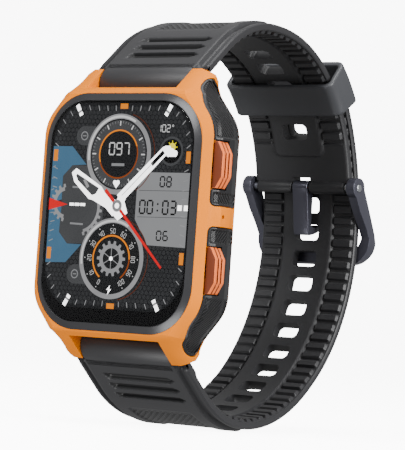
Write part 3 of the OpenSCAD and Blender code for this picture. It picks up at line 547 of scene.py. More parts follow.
# %% Rounded copy of a CAD node
def rounded(node, mat, width, angle=28, segments=2, name=None, smooth=40):
    """Welded, bevelled copy of a CAD node that stands for it."""
    src = frame["nodes"][node]
    bm = bmesh.new()
    bm.from_mesh(src.data)
    bmesh.ops.remove_doubles(bm, verts=bm.verts, dist=0.002 * MM)
    bmesh.ops.dissolve_limit(bm, angle_limit=math.radians(0.6), verts=bm.verts, edges=bm.edges)
    sharp = [e for e in bm.edges if len(e.link_faces) == 2 and e.calc_face_angle(0) > math.radians(angle)]
    bmesh.ops.bevel(bm, geom=sharp, offset=width * MM, offset_type="OFFSET", segments=segments, profile=0.6,
                    affect="EDGES", clamp_overlap=True)
    mesh = bpy.data.meshes.new(name or node + "_finished")
    bm.to_mesh(mesh)
    bm.free()
    mesh.materials.clear()
    mesh.materials.append(mat)
    mesh.polygons.foreach_set("use_smooth", np.ones(len(mesh.polygons), bool))
    mesh.set_sharp_from_angle(angle=math.radians(smooth))
    obj = bpy.data.objects.new(name or node + "_finished", mesh)
    bpy.context.scene.collection.objects.link(obj)
    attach(obj, src["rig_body"])
    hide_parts(node)
    print(obj.name, len(mesh.polygons), "faces")
    return obj


# %% [markdown]
# ## Painted shade on the button caps
# The front flank of each cap is painted darker as shade, and two grooves are darker too. The
# masks come from the direction of the surface and from the depth across the cap.

# %% Copper of the button caps
def cap_finish():
    """Copper with painted shade on its front flank and darker bands in two grooves: masks from normal and
    depth.
    """
    mat = finish("anodised_aluminium_copper", "#e06c30", 0.4, 0.1, 1.5, 0.12, 0.04, 0.03, specular=0.3)
    tree = mat.node_tree
    lo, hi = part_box("button_upper")
    middle, gap = (lo.y + hi.y) / 2, (hi.y - lo.y) / 6
    where = add(tree, "ShaderNodeTexCoord").outputs["Object"]
    y = add(tree, "ShaderNodeSeparateXYZ", [(0, where)]).outputs[1]
    off = add(tree, "ShaderNodeMath", [(0, y)], operation="SUBTRACT", i1=middle)
    off = add(tree, "ShaderNodeMath", [(0, off.outputs[0])], operation="ABSOLUTE")
    off = add(tree, "ShaderNodeMath", [(0, off.outputs[0])], operation="SUBTRACT", i1=gap)
    off = add(tree, "ShaderNodeMath", [(0, off.outputs[0])], operation="ABSOLUTE")
    groove = add(tree, "ShaderNodeMapRange", [("Value", off.outputs[0])],
                 From_Min=0.14 * MM, From_Max=0.24 * MM, To_Min=1.0, To_Max=0.0)
    # painted shade: where the surface faces the front (-Y) the cap is painted darker
    normal = add(tree, "ShaderNodeSeparateXYZ", [(0, add(tree, "ShaderNodeNewGeometry").outputs["Normal"])])
    flank = add(tree, "ShaderNodeMapRange", [("Value", normal.outputs[1])], From_Min=-0.9, From_Max=-0.7,
                To_Min=1.0, To_Max=0.0)
    dark = add(tree, "ShaderNodeMath", [(0, groove.outputs[0]), (1, flank.outputs[0])], operation="MAXIMUM")
    # 5e2810 is the painted shade on the front flank and the darker tone in the two grooves
    tint = add(tree, "ShaderNodeMix", [("Factor", dark.outputs[0]), (6, tree.nodes[mat["tint"]].outputs[2])],
               data_type="RGBA", i7=linear("#5e2810"))
    tree.links.new(tint.outputs[2], tree.nodes[mat["shader"]].inputs["Base Color"])
    return mat


PEACH = cap_finish()

# %% [markdown]
# ## Parts with an edge break
# Frame, ring, caps, keeper and buckle are copies with rounded edges. The keeper and the buckle frame, which
# rub on the sleeve, get the widest round; the turned caps and the ring keep a narrow one.

# %% Metal and moulded parts
rounded("case_frame", ORANGE, 0.12)
rounded("bezel_ring", BLACK_METAL, 0.08, 20)
for side in ("upper", "lower"):
    rounded("button_" + side, PEACH, 0.10)
KEEPER = finish("silicone_rubber_keeper", "#36373a", 0.42, 0, 1.43, 0.2, 0.08, 0.03)
rounded("keeper", KEEPER, 0.45, segments=3)
rounded("buckle_frame", BUCKLE, 0.45, 25, 3)
rounded("buckle_tongue", BUCKLE, 0.18, 25, 2)
rounded("buckle_pin", STEEL, 0.12, 40, 2)

# %% [markdown]
# ## Side inserts
# Four soft pads wrap the flanks. Each has a smooth rim and a field of curved ribs. The pad's skin is
# found by sliding across the case's own flank: at each height the flank is a row of known points from
# front to back, and the pad's outline from the side says where on that row it starts and stops. On the
# right side a recess in each pad leaves room for the pressed button.

# %% Flank of the case and the inserts
# each ring: depth behind the front plane, inset of the outline, share of the lugs' slope that it follows
RINGS = np.array([[0, 2.5, 1], [1.16, 1.0, 1], [2.6, 0, 0.9], [6.2, 0, 0.45], [9.0, 1.0, 0.1],
                  [11.4, 2.9, 0]])
HALF_W, STRAIGHT, SH_R, SH_RUN, HOLLOW, TURN = 20.1, 13.6, 8.2, 4.0, 4.0, math.radians(40)
SLOPE_Z = 21.5


def flank_edge(d):
    """Upper right edge of the case from the front, sunk by d: shoulder arc, slanted run, hollow arc."""
    a = np.linspace(0, TURN, 20)
    c1 = np.array([HALF_W - SH_R, STRAIGHT])
    go = np.array([math.cos(TURN), math.sin(TURN)])
    c2 = c1 + SH_R * go + SH_RUN * np.array([-go[1], go[0]]) + HOLLOW * go
    one = c1 + (SH_R - d) * np.stack([np.cos(a), np.sin(a)], 1)
    b = math.pi + a[::-1]
    two = c2 + (HOLLOW + d) * np.stack([np.cos(b), np.sin(b)], 1)
    return np.vstack([[one[0, 0], 0], one, two, [two[-1, 0], 27.1]])


def flank_x(y, z, sink=0.0):
    """Half width of the case at depth y and height z: straight between neighbouring rings."""
    back = np.clip((z - SLOPE_Z) / math.tan(SLOPE), 0, None)
    ys = np.stack([r[0] + r[2] * back for r in RINGS], -1)
    xs = np.stack([np.interp(z, *flank_edge(r[1] + sink)[:, ::-1].T) for r in RINGS], -1)
    out = np.zeros_like(y)
    for k in range(len(RINGS) - 1):
        t = np.clip((y - ys[..., k]) / (ys[..., k + 1] - ys[..., k]), 0, 1)
        on = (y >= ys[..., k]) if k else np.ones_like(y, bool)
        out = np.where(on, xs[..., k] + t * (xs[..., k + 1] - xs[..., k]), out)
    return out


def softened(p, r):
    """Outline with corners replaced by parabolas that start r before and end r after each corner."""
    a, c = np.roll(p, 1, axis=0), np.roll(p, -1, axis=0)
    out = []
    for k in range(len(p)):
        u, v = (p[k] + (q - p[k]) * min(0.45, r / np.linalg.norm(q - p[k])) for q in (a[k], c[k]))
        t = np.linspace(0, 1, 9)[:, None]
        out.append((1 - t) ** 2 * u + 2 * t * (1 - t) * p[k] + t * t * v)
    return np.vstack(out)


PAD_LOW, PAD_TOP, PAD_FRONT, PAD_BACK = 1.75, 24.7, 1.25, 9.0
LUG_REACH, LUG_BORDER = 1.6, 0.75    # lug past the spring bar, and the frame left standing round the pad
POCKET_HALF, POCKET_DEPTH = 4.3, 1.45
PAD_CORNER = PIVOT[1] + (LUG_REACH - LUG_BORDER - (PAD_BACK - PIVOT[0]) * math.cos(SLOPE)) / math.sin(SLOPE)
PAD = softened(np.array([(PAD_FRONT, PAD_LOW), (PAD_FRONT, 19.5), (2.45, 22.4), (4.45, 24.2), (5.45, PAD_TOP),
                         (PIVOT[0] + 0.15, PAD_TOP), (PAD_BACK, PAD_CORNER), (PAD_BACK, PAD_LOW)]), 1.2)


def pad_edges(z):
    """Front and back edge of the pad at heights z: least and greatest crossing of its outline."""
    a, b = PAD[None], np.roll(PAD, -1, axis=0)[None]
    z = z[:, None]
    hit = (np.minimum(a[..., 1], b[..., 1]) <= z) & (z < np.maximum(a[..., 1], b[..., 1]))
    t = (z - a[..., 1]) / np.where(b[..., 1] == a[..., 1], 1, b[..., 1] - a[..., 1])
    y = a[..., 0] + t * (b[..., 0] - a[..., 0])
    return np.where(hit, y, 99).min(1), np.where(hit, y, -99).max(1)


def insert_pad(name, side, up, hole=None):
    """Skin of one insert: rows run up the flank, columns from front to back, both ends tucked in."""
    z = np.concatenate([PAD_LOW + 0.03 + 1.6 * np.linspace(0, 1, 24) ** 2, np.linspace(3.5, 23.0, 140),
                        PAD_TOP - 0.03 - 1.55 * np.linspace(1, 0, 24) ** 2])
    front, back = pad_edges(z)
    u = np.linspace(0, 1, 40)
    y = front[:, None] + u[None] * (back - front)[:, None]
    zz = np.broadcast_to(z[:, None], y.shape)
    x = flank_x(y, zz)
    rim = np.minimum(y - front[:, None], back[:, None] - y)
    ends = np.minimum(zz - z[0], z[-1] - zz)
    if hole is not None:
        ends = np.minimum(ends, np.abs(zz - hole) - 4.35 + 0.001)
    inset = ramp(np.minimum(rim, ends) - 0.42, 0, 0.3)
    tips = 1 - ramp(np.minimum(zz - z[0], z[-1] - zz), 0, 0.3)
    x = x - 0.28 * inset - 0.35 * (1 - ramp(rim, 0, 0.3)) ** 2 - 0.3 * tips ** 2
    inner = flank_x(y, zz) - 1.0
    if hole is not None:
        inside = (np.abs(zz - hole) < POCKET_HALF) & (y > 1.33) & (y < 4.62)
        x = np.where(inside, flank_x(y, zz) - POCKET_DEPTH, x)
        inner = np.where(inside, inner - 0.49, inner)
    outer_pts = np.stack([x, y, zz], 2)
    inner_pts = np.stack([inner, y, zz], 2)[:, ::-1]
    grid = np.concatenate([outer_pts, inner_pts], 1)
    rows, cols = grid.shape[:2]
    faces = [list(f) for f in sheet_faces(rows, cols, wrap=True)]
    faces += [list(range(cols))[::-1], [(rows - 1) * cols + i for i in range(cols)]]
    pts = grid.reshape(-1, 3) * [side, 1, up] + [0, FRONT, 0]
    if side * up < 0:
        faces = [f[::-1] for f in faces]
    bend = zz + 1.1 * (y - 4) - 0.03 * (y - 4) ** 2
    plan = np.stack([np.concatenate([bend, bend[:, ::-1]], 1), np.concatenate([y, y[:, ::-1]], 1)], 2)
    # the ribs mask also places the painted shade in the rib valleys
    mask = np.concatenate([inset, inset[:, ::-1] * 0], 1)
    return make(name, pts, faces, INSERT, "case", [name.replace("_pad", "")],
                SOFT_ANGLE, plan.reshape(-1, 2), {"ribs": mask.ravel()})


insert_pad("insert_right_upper_pad", 1, 1, 9.05)
insert_pad("insert_right_lower_pad", 1, -1, 9.5)
insert_pad("insert_left_upper_pad", -1, 1)
insert_pad("insert_left_lower_pad", -1, -1)

# %% [markdown]
# ## Parts inside the case
# Springs, seals, boards and screws already have their true shape, so they only need a finish.

# %% Finishes of the CAD nodes that stay as they are
KEEP = {
    "display_panel": LENS, "display_gasket": SEAL, "inner_frame": PLASTIC, "button_upper_spring": STEEL,
    "button_lower_spring": STEEL, "button_upper_o_ring": SEAL, "button_lower_o_ring": SEAL,
    "button_upper_clip": STEEL, "button_lower_clip": STEEL, "side_key_flex": FLEX, "microphone": STEEL,
    "speaker": PLASTIC, "main_board": BOARD, "battery": FOIL, "display_flex": FLEX, "gps_antenna": GOLD,
    "vibration_motor": STEEL, "sensor_board": BOARD, "rear_gasket": SEAL, "rear_cover": PLASTIC,
    "sensor_window": LENS, "charging_pads": GOLD, "rear_screws": STEEL, "spring_bar_upper": STEEL,
    "spring_bar_lower": STEEL, "bar_spring_upper": STEEL, "bar_spring_lower": STEEL,
    "bar_tip_upper_right": STEEL, "bar_tip_upper_left": STEEL, "bar_tip_lower_right": STEEL,
    "bar_tip_lower_left": STEEL}
for node, mat in KEEP.items():
    o = frame["nodes"][node]
    o.data.materials.clear()
    o.data.materials.append(mat)
print("CAD nodes shown as they are:", len(KEEP))

# %% [markdown]
# ## The display
# The glass is bonded to the panel, so the lit picture seems to lie just under its face. The picture is
# built as thin printed layers, each a flat mesh of simple outlines, stacked a hundredth of a millimetre
# apart from the back: field, panels, rings, scales, hands.

# %% Display tools
GLASS_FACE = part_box("cover_glass")[0].y / MM
LAYER = 0.012
DIAL_Z = 1.10                      # the picture's centre above the middle of the glass
layers = {}


def glow(name, colour, light, drift=0.03):
    """Pixels: all their light is their own, and the gloss in front of them belongs to the glass."""
    mat = finish(name, colour, 0.6, 0, 1.45, 0.4, 0.0, drift, light=light)
    shader = mat.node_tree.nodes[mat["shader"]]
    mat.node_tree.links.remove(shader.inputs["Base Color"].links[0])
    shader.inputs["Base Color"].default_value = linear("#020202")
    shader.inputs["Specular IOR Level"].default_value = 0.0
    return mat


INKS = {
    "white": glow("lit_pixels_white", "#f6f6f6", 3.6),
    "silver": glow("lit_pixels_silver", "#a4a4a6", 0.9, 0.12),
    "pale": glow("lit_pixels_pale", "#dcdcdc", 1.1, 0.05),
    "grey": glow("lit_pixels_grey", "#909193", 1.0), "slate": glow("lit_pixels_slate", "#48494b", 1.0, 0.08),
    "dark": glow("lit_pixels_dark", "#1d1e20", 1.0), "black": glow("lit_pixels_black", "#0a0a0b", 1.0),
    "orange": glow("lit_pixels_orange", "#ff8c00", 1.1), "ember": glow("lit_pixels_ember", "#a04a14", 0.9),
    "rust": glow("lit_pixels_rust", "#6a2e14", 0.9),
    "blue": glow("lit_pixels_blue", "#47718f", 1.0, 0.06), "red": glow("lit_pixels_red", "#e01018", 1.2),
    "yellow": glow("lit_pixels_yellow", "#f0e000", 1.6),
    "hexa": glow("lit_pixels_field", "#323335", 1.0, 0.16)}


def ink(colour, level, polys):
    """Adds outlines (u, v in mm, counter-clockwise) to a layer of one ink at one level."""
    layers.setdefault((level, colour), []).extend([np.asarray(p, float) for p in polys])


def disc(u, v, r, n=64, start=0, stop=360):
    a = np.radians(np.linspace(start, stop, n + 1)[:-1 if stop - start == 360 else None])
    return np.stack([u + r * np.cos(a), v + r * np.sin(a)], 1)


def annulus(u, v, r0, r1, start=0, stop=360, n=72):
    """Quads of a ring or an arc between two radii; angles count from three o'clock, counter-clockwise."""
    a = np.radians(np.linspace(start, stop, n + 1))
    e = np.stack([np.cos(a), np.sin(a)], 1)
    return [np.array([c + r1 * e[i], c + r1 * e[i + 1], c + r0 * e[i + 1], c + r0 * e[i]])
            for c in [np.array([u, v])] for i in range(n)]


def stroke(a, b, w0, w1=None):
    """Straight bar from a to b with widths w0 and w1."""
    a, b = np.array(a, float), np.array(b, float)
    t = (b - a) / np.linalg.norm(b - a)
    m = np.array([-t[1], t[0]]) / 2
    w1 = w0 if w1 is None else w1
    return np.array([a - m * w0, b - m * w1, b + m * w1, a + m * w0])


SEGMENTS = {"0": "abcdef", "1": "bc", "2": "abged", "3": "abgcd", "4": "fgbc", "5": "afgcd", "6": "afgedc",
            "7": "abc", "8": "abcdefg", "9": "abcdfg", ":": "", "o": "", "-": "g"}


def digits(text, u, v, h, w, t, gap, turn=0.0):
    """Seven-segment digits centred on (u, v), turned by `turn` degrees."""
    out, pen = [], -(len(text) * w + (len(text) - 1) * gap) / 2
    c, s = math.cos(math.radians(turn)), math.sin(math.radians(turn))
    for ch in text:
        q, m = t * 0.35, h / 2
        ends = {"a": ((q, m), (w - q, m)), "g": ((q, 0), (w - q, 0)), "d": ((q, -m), (w - q, -m)),
                "f": ((0, m - q), (0, q)), "b": ((w, m - q), (w, q)),
                "e": ((0, -q), (0, q - m)), "c": ((w, -q), (w, q - m))}
        for seg in SEGMENTS[ch]:
            (x0, y0), (x1, y1) = ends[seg]
            out.append(stroke((pen + x0, y0), (pen + x1, y1), t))
        if ch == ":":
            out += [disc(pen + w / 2, y, t * 0.6, 12) for y in (h / 4, -h / 4)]
        if ch == "o":
            out += annulus(pen + w * 0.4, h * 0.38, h * 0.09, h * 0.17, n=16)
        pen += w + gap
    rot = np.array([[c, s], [-s, c]])
    return [p @ rot + [u, v] for p in out]


def round_rect(w, h, r, n=12):
    """Rounded rectangle outline round the origin."""
    a = np.linspace(0, math.pi / 2, n)
    q = np.stack([np.cos(a), np.sin(a)], 1) * r
    x, z = w / 2 - r, h / 2 - r
    return np.vstack([q + [x, z], q[:, ::-1] @ [[-1, 0], [0, 1]] + [-x, z],
                      -q + [-x, -z], q[:, ::-1] @ [[1, 0], [0, -1]] + [x, -z]])


# %% [markdown]
# ## Field and minute scale
# The field is dark with a pattern of small six-sided cells, laid on a staggered grid and kept off the rim.
# Marks follow the rim: a ray from the centre is walked out until it meets the outline, and the mark is
# drawn a little inside that point.

# %% Field and scale
FIELD_W, FIELD_H, FIELD_R = 31.4, 37.0, 7.0
ink("dark", 0, [round_rect(FIELD_W, FIELD_H, FIELD_R)])
pitch = 0.92
gu, gv = np.meshgrid(np.arange(-17, 18) * pitch, np.arange(-24, 25) * pitch * 0.866, indexing="ij")
gu = gu + (np.arange(-24, 25) % 2)[None] * pitch / 2
du, dv = np.abs(gu) - (FIELD_W / 2 - FIELD_R), np.abs(gv) - (FIELD_H / 2 - FIELD_R)
reach = np.hypot(np.clip(du, 0, None), np.clip(dv, 0, None)) + np.minimum(np.maximum(du, dv), 0)
inside = reach < FIELD_R - 0.45
cell = disc(0, 0, pitch * 0.47, 6, 30, 390)
ink("hexa", 1, [cell + [a, b] for a, b in zip(gu[inside], gv[inside])])


def rim_point(angle, inset):
    """Where the ray at a clock angle meets the field's outline, moved in by inset."""
    d = np.array([math.sin(angle), math.cos(angle)])
    t = np.linspace(8, 26, 900)
    p = np.abs(t[:, None] * d) - [FIELD_W / 2 - FIELD_R, FIELD_H / 2 - FIELD_R]
    far = np.hypot(*np.clip(p, 0, None).T) + np.minimum(p.max(1), 0) - FIELD_R
    return d * (t[int(np.argmin(np.abs(far)))] - inset)


for k in range(60):
    a = math.radians(6 * k)
    if k % 5 or k in (10, 20, 40, 50):
        ink("silver", 6, [stroke(rim_point(a, 0.5), rim_point(a, 1.5), 0.16)])
for k in (5, 25, 35, 55):
    a = math.radians(6 * k)
    p = {5: (9.96, 17.2), 25: (10.05, -17.3), 35: (-10.1, -17.3), 55: (-10.2, 17.15)}[k]
    d = np.array([math.sin(a), math.cos(a)])
    ink("white", 6, [stroke(np.array(p) - d * 1.1, np.array(p) + d * 1.1, 0.8)])
    ink("silver", 7, [stroke(np.array(p) - d * 0.5, np.array(p) - d * 0.1, 0.8)])
for u, v, w, h in ((0, 17.9, 1.7, 0.95), (0, -17.9, 1.7, 0.95), (15.0, 8.91, 0.95, 2.1),
                   (-15.0, 8.91, 0.95, 2.1), (15.0, -8.91, 0.95, 2.1), (-15.0, -8.91, 0.95, 2.1)):
    ink("orange", 7, [stroke((u, v - h / 2), (u, v + h / 2), w)])

# %% [markdown]
# ## Panels
# A blue panel and toothed wheels stand on the left, a grey number window on the right. They are plain
# outlines in millimetres from the centre of the dial, with bars and digits where words could stand.

# %% Panels, wheels and windows
BLUE_A = [(-15.7, 10.55), (-15.7, 0.1), (-12.95, 0.85), (-13.05, 5.13), (-10.99, 7.13), (-7.75, 7.29),
          (-11.27, 10.57)]
BLUE_B = [(-15.7, 0.1), (-15.7, -10.64), (-11.03, -10.48), (-7.65, -7.13), (-10.98, -7.11), (-13.04, -5.07),
          (-12.85, 0.0)]
ink("blue", 2, [BLUE_A, BLUE_B])
DAY = [(-12.95, 0.85), (-13.05, 5.13), (-10.99, 7.13), (-6.0, 7.1), (-3.2, 4.0), (-3.2, -4.0), (-6, -6.9),
       (-10.98, -7.11), (-13.04, -5.07)]
ink("slate", 2, [DAY[::-1]])
ink("silver", 2, [stroke((-15.6, v), (-14.9, v + 0.25), 0.16) for v in np.arange(-8, 8.1, 2.1)])


def wheel(colour, level, u, v, r, teeth, tooth, start=0, stop=360, width=0.9):
    """Ring with square teeth."""
    ink(colour, level, annulus(u, v, r - width, r, start, stop))
    for a in np.radians(np.arange(start, stop, 360 / teeth)):
        e = np.array([math.cos(a), math.sin(a)])
        root, tip = np.array([u, v]) + e * (r - 0.1), np.array([u, v]) + e * (r + tooth)
        ink(colour, level, [stroke(root, tip, tooth * 1.1, tooth * 0.8)])


wheel("silver", 3, -11.9, 0.3, 2.9, 18, 0.55, 100, 262, 0.7)
wheel("silver", 3, -8.6, -0.5, 4.6, 26, 0.55, -75, 75, 0.55)
ink("grey", 3, [stroke((-10.6, v), (-7.6, v - 0.1), 0.34) for v in (3.2, -3.4)])
ink("white", 4, [stroke((-11.0, 0.05), (-7.4, 0.05), 0.5)])
ink("slate", 5, [stroke((x, -0.35), (x, 0.45), 0.16) for x in (-9.9, -8.6)])
LCD = [(4.1, 3.0), (5.4, 6.15), (15.6, 6.2), (15.6, -6.95), (7.24, -6.75), (4.1, -2.2)]
ink("grey", 2, [LCD[::-1]])
ink("slate", 3, [stroke((4.6, v), (15.6, v + 0.1), 0.09) for v in (2.9, -1.8)])
ink("black", 4, digits("08", 10.4, 4.55, 1.75, 0.95, 0.27, 0.5)
    + digits("00:03", 9.0, 0.0, 2.3, 1.15, 0.32, 0.55) + digits("06", 10.4, -5.0, 1.6, 0.95, 0.26, 0.5))
ink("white", 5, [stroke((13.4, 0.0), (15.6, 0.0), 0.95)])
ink("silver", 6, [stroke((14.3, 0.0), (14.8, 0.0), 0.95)])
for u, v in ((-8.75, 12.5), (-8.8, -12.5)):
    ink("slate", 2, [disc(u, v, 1.75, 40), stroke((u, v), (u + 2.6, v), 3.5)])
    ink("grey", 3, annulus(u + 0.1, v, 0.62, 0.82, n=30) + [stroke((u - 0.3, v), (u + 0.5, v), 0.18)])
ink("pale", 4, digits("102o", 9.7, 14.0, 1.25, 0.70, 0.16, 0.32))
ink("slate", 3, [disc(11.15, 9.98, 2.6)])
ink("black", 4, [disc(11.15, 9.98, 2.15)])
SUN = np.array([11.3, 10.7])
rays = [SUN + 1.15 * np.array([math.cos(a), math.sin(a)]) for a in np.radians(np.arange(0, 360, 45))]
ink("yellow", 5, [disc(*SUN, 0.75, 24)] + [stroke(SUN, ray, 0.14) for ray in rays])
ink("white", 6, [disc(11.2, 9.75, 0.75, 24), disc(12.0, 9.6, 0.55, 24), disc(10.6, 9.4, 0.45, 24),
                 stroke((10.4, 9.3), (12.3, 9.3), 0.6)])

# %% [markdown]
# ## Two small dials
# Both are a silver ring round a dark disc. Numbers are built from seven bars, so no font is needed.

# %% Two small dials
UP, DOWN = (-0.56, 9.29), (-0.56, -9.43)
ink("rust", 5, annulus(UP[0] + 0.7, UP[1], 7.3, 7.45, -60, 75))
ink("rust", 5, annulus(DOWN[0] + 0.8, DOWN[1], 7.3, 7.45, -80, 75))
for u, v in (UP, DOWN):
    ink("silver", 6, annulus(u, v, 6.35, 7.26))
    ink("pale", 7, annulus(u, v, 6.55, 6.95, 60, 190))
    ink("dark", 6, [disc(u, v, 6.4)])
ink("slate", 7, [disc(*UP, 6.1)])
u, v = UP
for k in range(60):
    a = math.radians(6 * k)
    e = np.array([math.sin(a), math.cos(a)])
    inner, thick, colour = (5.1, 0.24, "pale") if k % 5 == 0 else (5.55, 0.07, "silver")
    ink(colour, 8, [stroke(np.array(UP) + e * inner, np.array(UP) + e * 5.95, thick)])
ink("orange", 8, annulus(u, v, 4.15, 4.42, 20, 200))
ink("ember", 8, annulus(u, v, 4.15, 4.42, 200, 380))
ink("dark", 8, [disc(u, v, 4.15)])
ink("pale", 9, digits("097", u + 0.1, v + 0.95, 2.1, 1.15, 0.24, 0.5))
ink("grey", 9, [stroke((u - 1.4, v - 1.9), (u + 1.5, v - 1.9), 0.5)])
heart_point = [(u - 0.72, v - 5.2), (u, v - 6.15), (u + 0.72, v - 5.2)]
ink("white", 9, [disc(u - 0.32, v - 5.1, 0.42, 20), disc(u + 0.32, v - 5.1, 0.42, 20), heart_point])
u, v = DOWN
for k, text in enumerate(("0", "10", "20", "30", "40", "50", "60", "70", "80", "90", "100")):
    a = math.radians(-150 + 30 * k)
    e = np.array([math.sin(a), math.cos(a)])
    p = np.array(DOWN) + e * 4.95
    turn = -math.degrees(a) if abs(math.degrees(a)) < 100 else -math.degrees(a) + 180
    dot = disc(*(np.array(DOWN) + e * 5.95), 0.11, 10)
    ink("pale", 8, digits(text, p[0], p[1], 0.85, 0.40, 0.09, 0.26, turn) + [dot])
ink("orange", 8, annulus(u, v, 3.95, 4.25, 0, 235))
ink("ember", 8, annulus(u, v, 3.95, 4.25, -55, 0))
wheel("silver", 8, u, v, 2.6, 14, 0.6, 0, 360, 0.75)
ink("silver", 8, [stroke((u, v), (u + 2 * math.cos(a), v + 2 * math.sin(a)), 0.16)
                  for a in np.radians(np.arange(30, 390, 60))])
bolt_top = [(u + 0.3, v - 4.7), (u - 0.55, v - 5.6), (u + 0.0, v - 5.6)]
bolt_foot = [(u - 0.3, v - 6.5), (u + 0.55, v - 5.45), (u - 0.05, v - 5.45)]
ink("white", 9, [disc(u, v, 0.38, 20), bolt_top, bolt_foot])

# %% [markdown]
# ## Hands
# The hour and minute hands are white with a dark window; the red second hand lies over both of them and
# under the round hub. Each hand is an outline or a tapered stroke from the hub.

# %% Hands
HUB = np.array([0.0, 0.03])
HOUR = [(-9.9, 6.6), (-10.9, 5.8), (-10.2, 4.1), (-6.6, 1.1), (-5.6, 0.9), (-2.6, -0.4), (-0.9, -1.9),
        (0.9, 0.3), (-2.2, 2.0), (-3.0, 2.4), (-3.9, 3.4)]
ink("white", 11, [HOUR])
ink("slate", 12, [[(-9.6, 5.6), (-9.9, 5.3), (-9.4, 4.4), (-5.9, 1.75), (-5.0, 2.1), (-4.4, 3.1)]])
ink("silver", 13, [stroke((-7.9, 4.6), (-6.9, 3.2), 0.6)])
ink("white", 11, [[(-1.2, -0.9), (0.9, -0.9), (1.9, 1.6), (0.6, 2.6)],
                  stroke((0.4, 1.3), (9.9, 10.1), 1.75, 1.6),
                  [(9.2, 10.6), (10.5, 9.4), (11.4, 10.0), (10.9, 10.9), (9.9, 10.9)]])
ink("white", 11, [[(-2.0, -0.6), (0.3, -2.6), (2.4, -1.2), (1.6, 0.8), (-1.2, 0.9)]])
ink("silver", 12, [stroke((0.9, 1.9), (7.4, 7.9), 0.12)])
ink("black", 12, [stroke((7.1, 7.5), (9.6, 9.85), 0.75)])
ink("red", 14, [stroke((-2.9, 2.8), HUB, 0.75, 0.62), stroke(HUB, (10.75, -10.7), 0.62, 0.42)])
ink("silver", 15, [disc(*HUB, 1.1, 40)])
ink("grey", 16, annulus(*HUB, 0.62, 0.95, n=40))
ink("white", 16, [disc(*HUB, 0.5, 24)])
ink("red", 7, [[(-15.8, 1.1), (-15.8, -1.1), (-11.4, 0.0)]])

# %% [markdown]
# ## From outlines to meshes
# All outlines of one ink on one level become one flat mesh that faces the wearer.

# %% Build the layers
for (level, colour), polys in sorted(layers.items(), key=lambda kv: kv[0]):
    verts, faces, n = [], [], 0
    for p in polys:
        area = np.sum(p[:, 0] * np.roll(p[:, 1], -1) - np.roll(p[:, 0], -1) * p[:, 1])
        p = p if area > 0 else p[::-1]
        verts.append(np.c_[p[:, 0], np.full(len(p), GLASS_FACE + 0.30 - LAYER * level), p[:, 1] + DIAL_Z])
        faces.append(range(n, n + len(p)))
        n += len(p)
    make(f"display_{level:02d}_{colour}", np.vstack(verts), faces, INKS[colour], "case",
         smooth=False)
print("display layers:", len(layers))


# %% [markdown]
# ## Cover glass
# A black printed border shows through the glass round the picture. The slab below is that black print,
# and a thin clear sheet over everything gives the reflections of real glass.

# %% Glass
def glass_material():
    """Clear coated glass: mostly transparent, with a Fresnel share of sharp reflection."""
    mat = bpy.data.materials.new("aluminosilicate_cover_glass_polished")
    mat.use_nodes = True
    tree = mat.node_tree
    tree.nodes.clear()
    where = add(tree, "ShaderNodeTexCoord").outputs["Object"]
    dust = add(tree, "ShaderNodeTexNoise", [("Vector", where)], Scale=1 / (1.5 * MM), Detail=4.0)
    haze = add(tree, "ShaderNodeMapRange", [("Value", dust.outputs["Fac"])], To_Min=0.01, To_Max=0.03)
    clear = add(tree, "ShaderNodeBsdfTransparent")
    shine = add(tree, "ShaderNodeBsdfGlossy", [("Roughness", haze.outputs[0])])
    share = add(tree, "ShaderNodeFresnel", IOR=1.22)
    mix = add(tree, "ShaderNodeMixShader",
              [(0, share.outputs[0]), (1, clear.outputs[0]), (2, shine.outputs[0])])
    add(tree, "ShaderNodeOutputMaterial", [("Surface", mix.outputs[0])])
    return mat


def slab(name, w, h, r, y0, y1, mat, replaces=()):
    """Upright rounded plate with a small rounded front edge."""
    rows = [(0.12, y0), (0.03, y0 + 0.03), (0.0, y0 + 0.12), (0.0, y1)]
    out = [round_rect(w - 2 * i, h - 2 * i, r - i) for i, _ in rows]
    n = len(out[0])
    pts = np.vstack([np.c_[o[:, 0], np.full(n, y), o[:, 1]] for o, (_, y) in zip(out, rows)])
    faces = [list(f)[::-1] for f in sheet_faces(4, n, wrap=True)]
    faces += [list(range(n)), [3 * n + i for i in range(n)][::-1]]
    return make(name, pts, faces, mat, "case", replaces, 40)


glass_lo, glass_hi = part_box("cover_glass")
GW, GH = (glass_hi.x - glass_lo.x) / MM, (glass_hi.z - glass_lo.z) / MM
BLACK_PRINT = finish("black_ceramic_print_under_glass", "#060607", 0.6, 0, 1.5, 0.3, 0.01, 0.02)
BLACK_PRINT.node_tree.nodes[BLACK_PRINT["shader"]].inputs["Specular IOR Level"].default_value = 0.0
slab("cover_glass_print", GW - 0.05, GH - 0.05, 7.5, GLASS_FACE + 0.33, glass_hi.y / MM, BLACK_PRINT,
     ["cover_glass"])
slab("cover_glass_clear", GW - 0.02, GH - 0.02, 7.55, GLASS_FACE, GLASS_FACE + 0.05, glass_material())

# %% [markdown]
# ## Floor, light and camera
# Black rubber on white needs light from many sides. Two large soft lights stand in front and at the side,
# two weaker ones shine from above and from low in front, and the white surround fills the rest. The floor
# glows evenly and is seen by the camera only, so it casts no colour on the watch and takes no shadow.

# %% Studio
def studio_floor(z):
    """Large white disc at height z in mm, as many points on a circle of 40 m."""
    a = np.linspace(0, 2 * math.pi, 97)[:-1]
    r = 40000.0
    pts = np.c_[r * np.cos(a), r * np.sin(a), np.full(96, z)]
    paper = finish("matt_white_paper_sweep", "#ffffff", 0.9, 0, 1.4, 1.0, 0.01, 0.0, light=8.6)
    return make("floor", pts, [range(96)], paper, None, smooth=False)


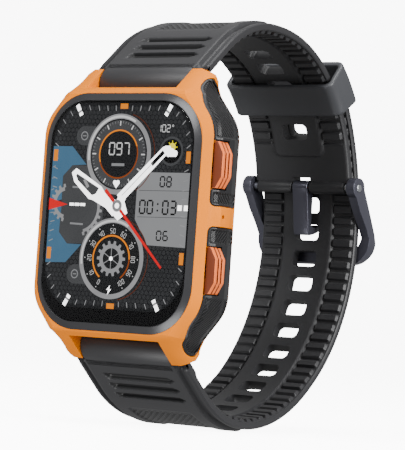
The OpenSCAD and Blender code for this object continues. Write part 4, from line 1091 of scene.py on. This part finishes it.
floor = studio_floor(SIZE["cad"][0][2] / MM - 0.02)
floor.visible_diffuse = floor.visible_glossy = floor.visible_shadow = False
floor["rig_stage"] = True

world = bpy.data.worlds.new("studio")
bpy.context.scene.world = world
world.use_nodes = True
sky = world.node_tree.nodes["Background"]
sky.inputs[0].default_value = (1, 1, 1, 1)
seen = add(world.node_tree, "ShaderNodeLightPath")
level = add(world.node_tree, "ShaderNodeMapRange", [("Value", seen.outputs["Is Camera Ray"])],
            To_Min=0.4, To_Max=9.0)
world.node_tree.links.new(level.outputs[0], sky.inputs[1])


def area(name, at, towards, size, power):
    """Soft square light at a point, turned to face another."""
    lamp = bpy.data.lights.new(name, "AREA")
    lamp.size, lamp.energy = size * MM, power
    o = bpy.data.objects.new(name, lamp)
    o.location = Vector(at) * MM
    o.rotation_mode = "QUATERNION"
    o.rotation_quaternion = (Vector(towards) * MM - o.location).to_track_quat("-Z", "Y")
    bpy.context.scene.collection.objects.link(o)
    o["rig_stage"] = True


area("key", (-60, -580, 400), (0, -20, 0), 380, 6.4)
area("side", (560, -60, 120), (0, 10, 0), 360, 7.0)
area("top", (60, -60, 560), (0, 0, 20), 360, 3.2)
area("low", (-40, -420, -380), (0, 0, -10), 300, 3.2)

camera = bpy.data.objects.new("camera", bpy.data.cameras.new("camera"))
bpy.context.scene.collection.objects.link(camera)
forward = Vector((-0.58932, 0.80672, 0.04364)).normalized()
up = Vector((-0.03148, -0.07691, 0.99654))
up = (up - forward * up.dot(forward)).normalized()
right = forward.cross(up)
camera.matrix_world = Matrix((
    (right.x, up.x, -forward.x, 0.268683), (right.y, up.y, -forward.y, -0.375959),
    (right.z, up.z, -forward.z, -0.020188), (0, 0, 0, 1)))
camera.data.lens, camera.data.sensor_width = 195.07, 36.0
camera.data.clip_start, camera.data.clip_end = 0.01, 200.0
bpy.context.scene.camera = camera

# %% [markdown]
# ## Close the lesson
# The box of everything made is measured again; the looks have to stay inside the box of the CAD part.

# %% Finish
SIZE["looks"] = [list(v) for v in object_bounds()]
print("box of the looks:", SIZE["looks"])
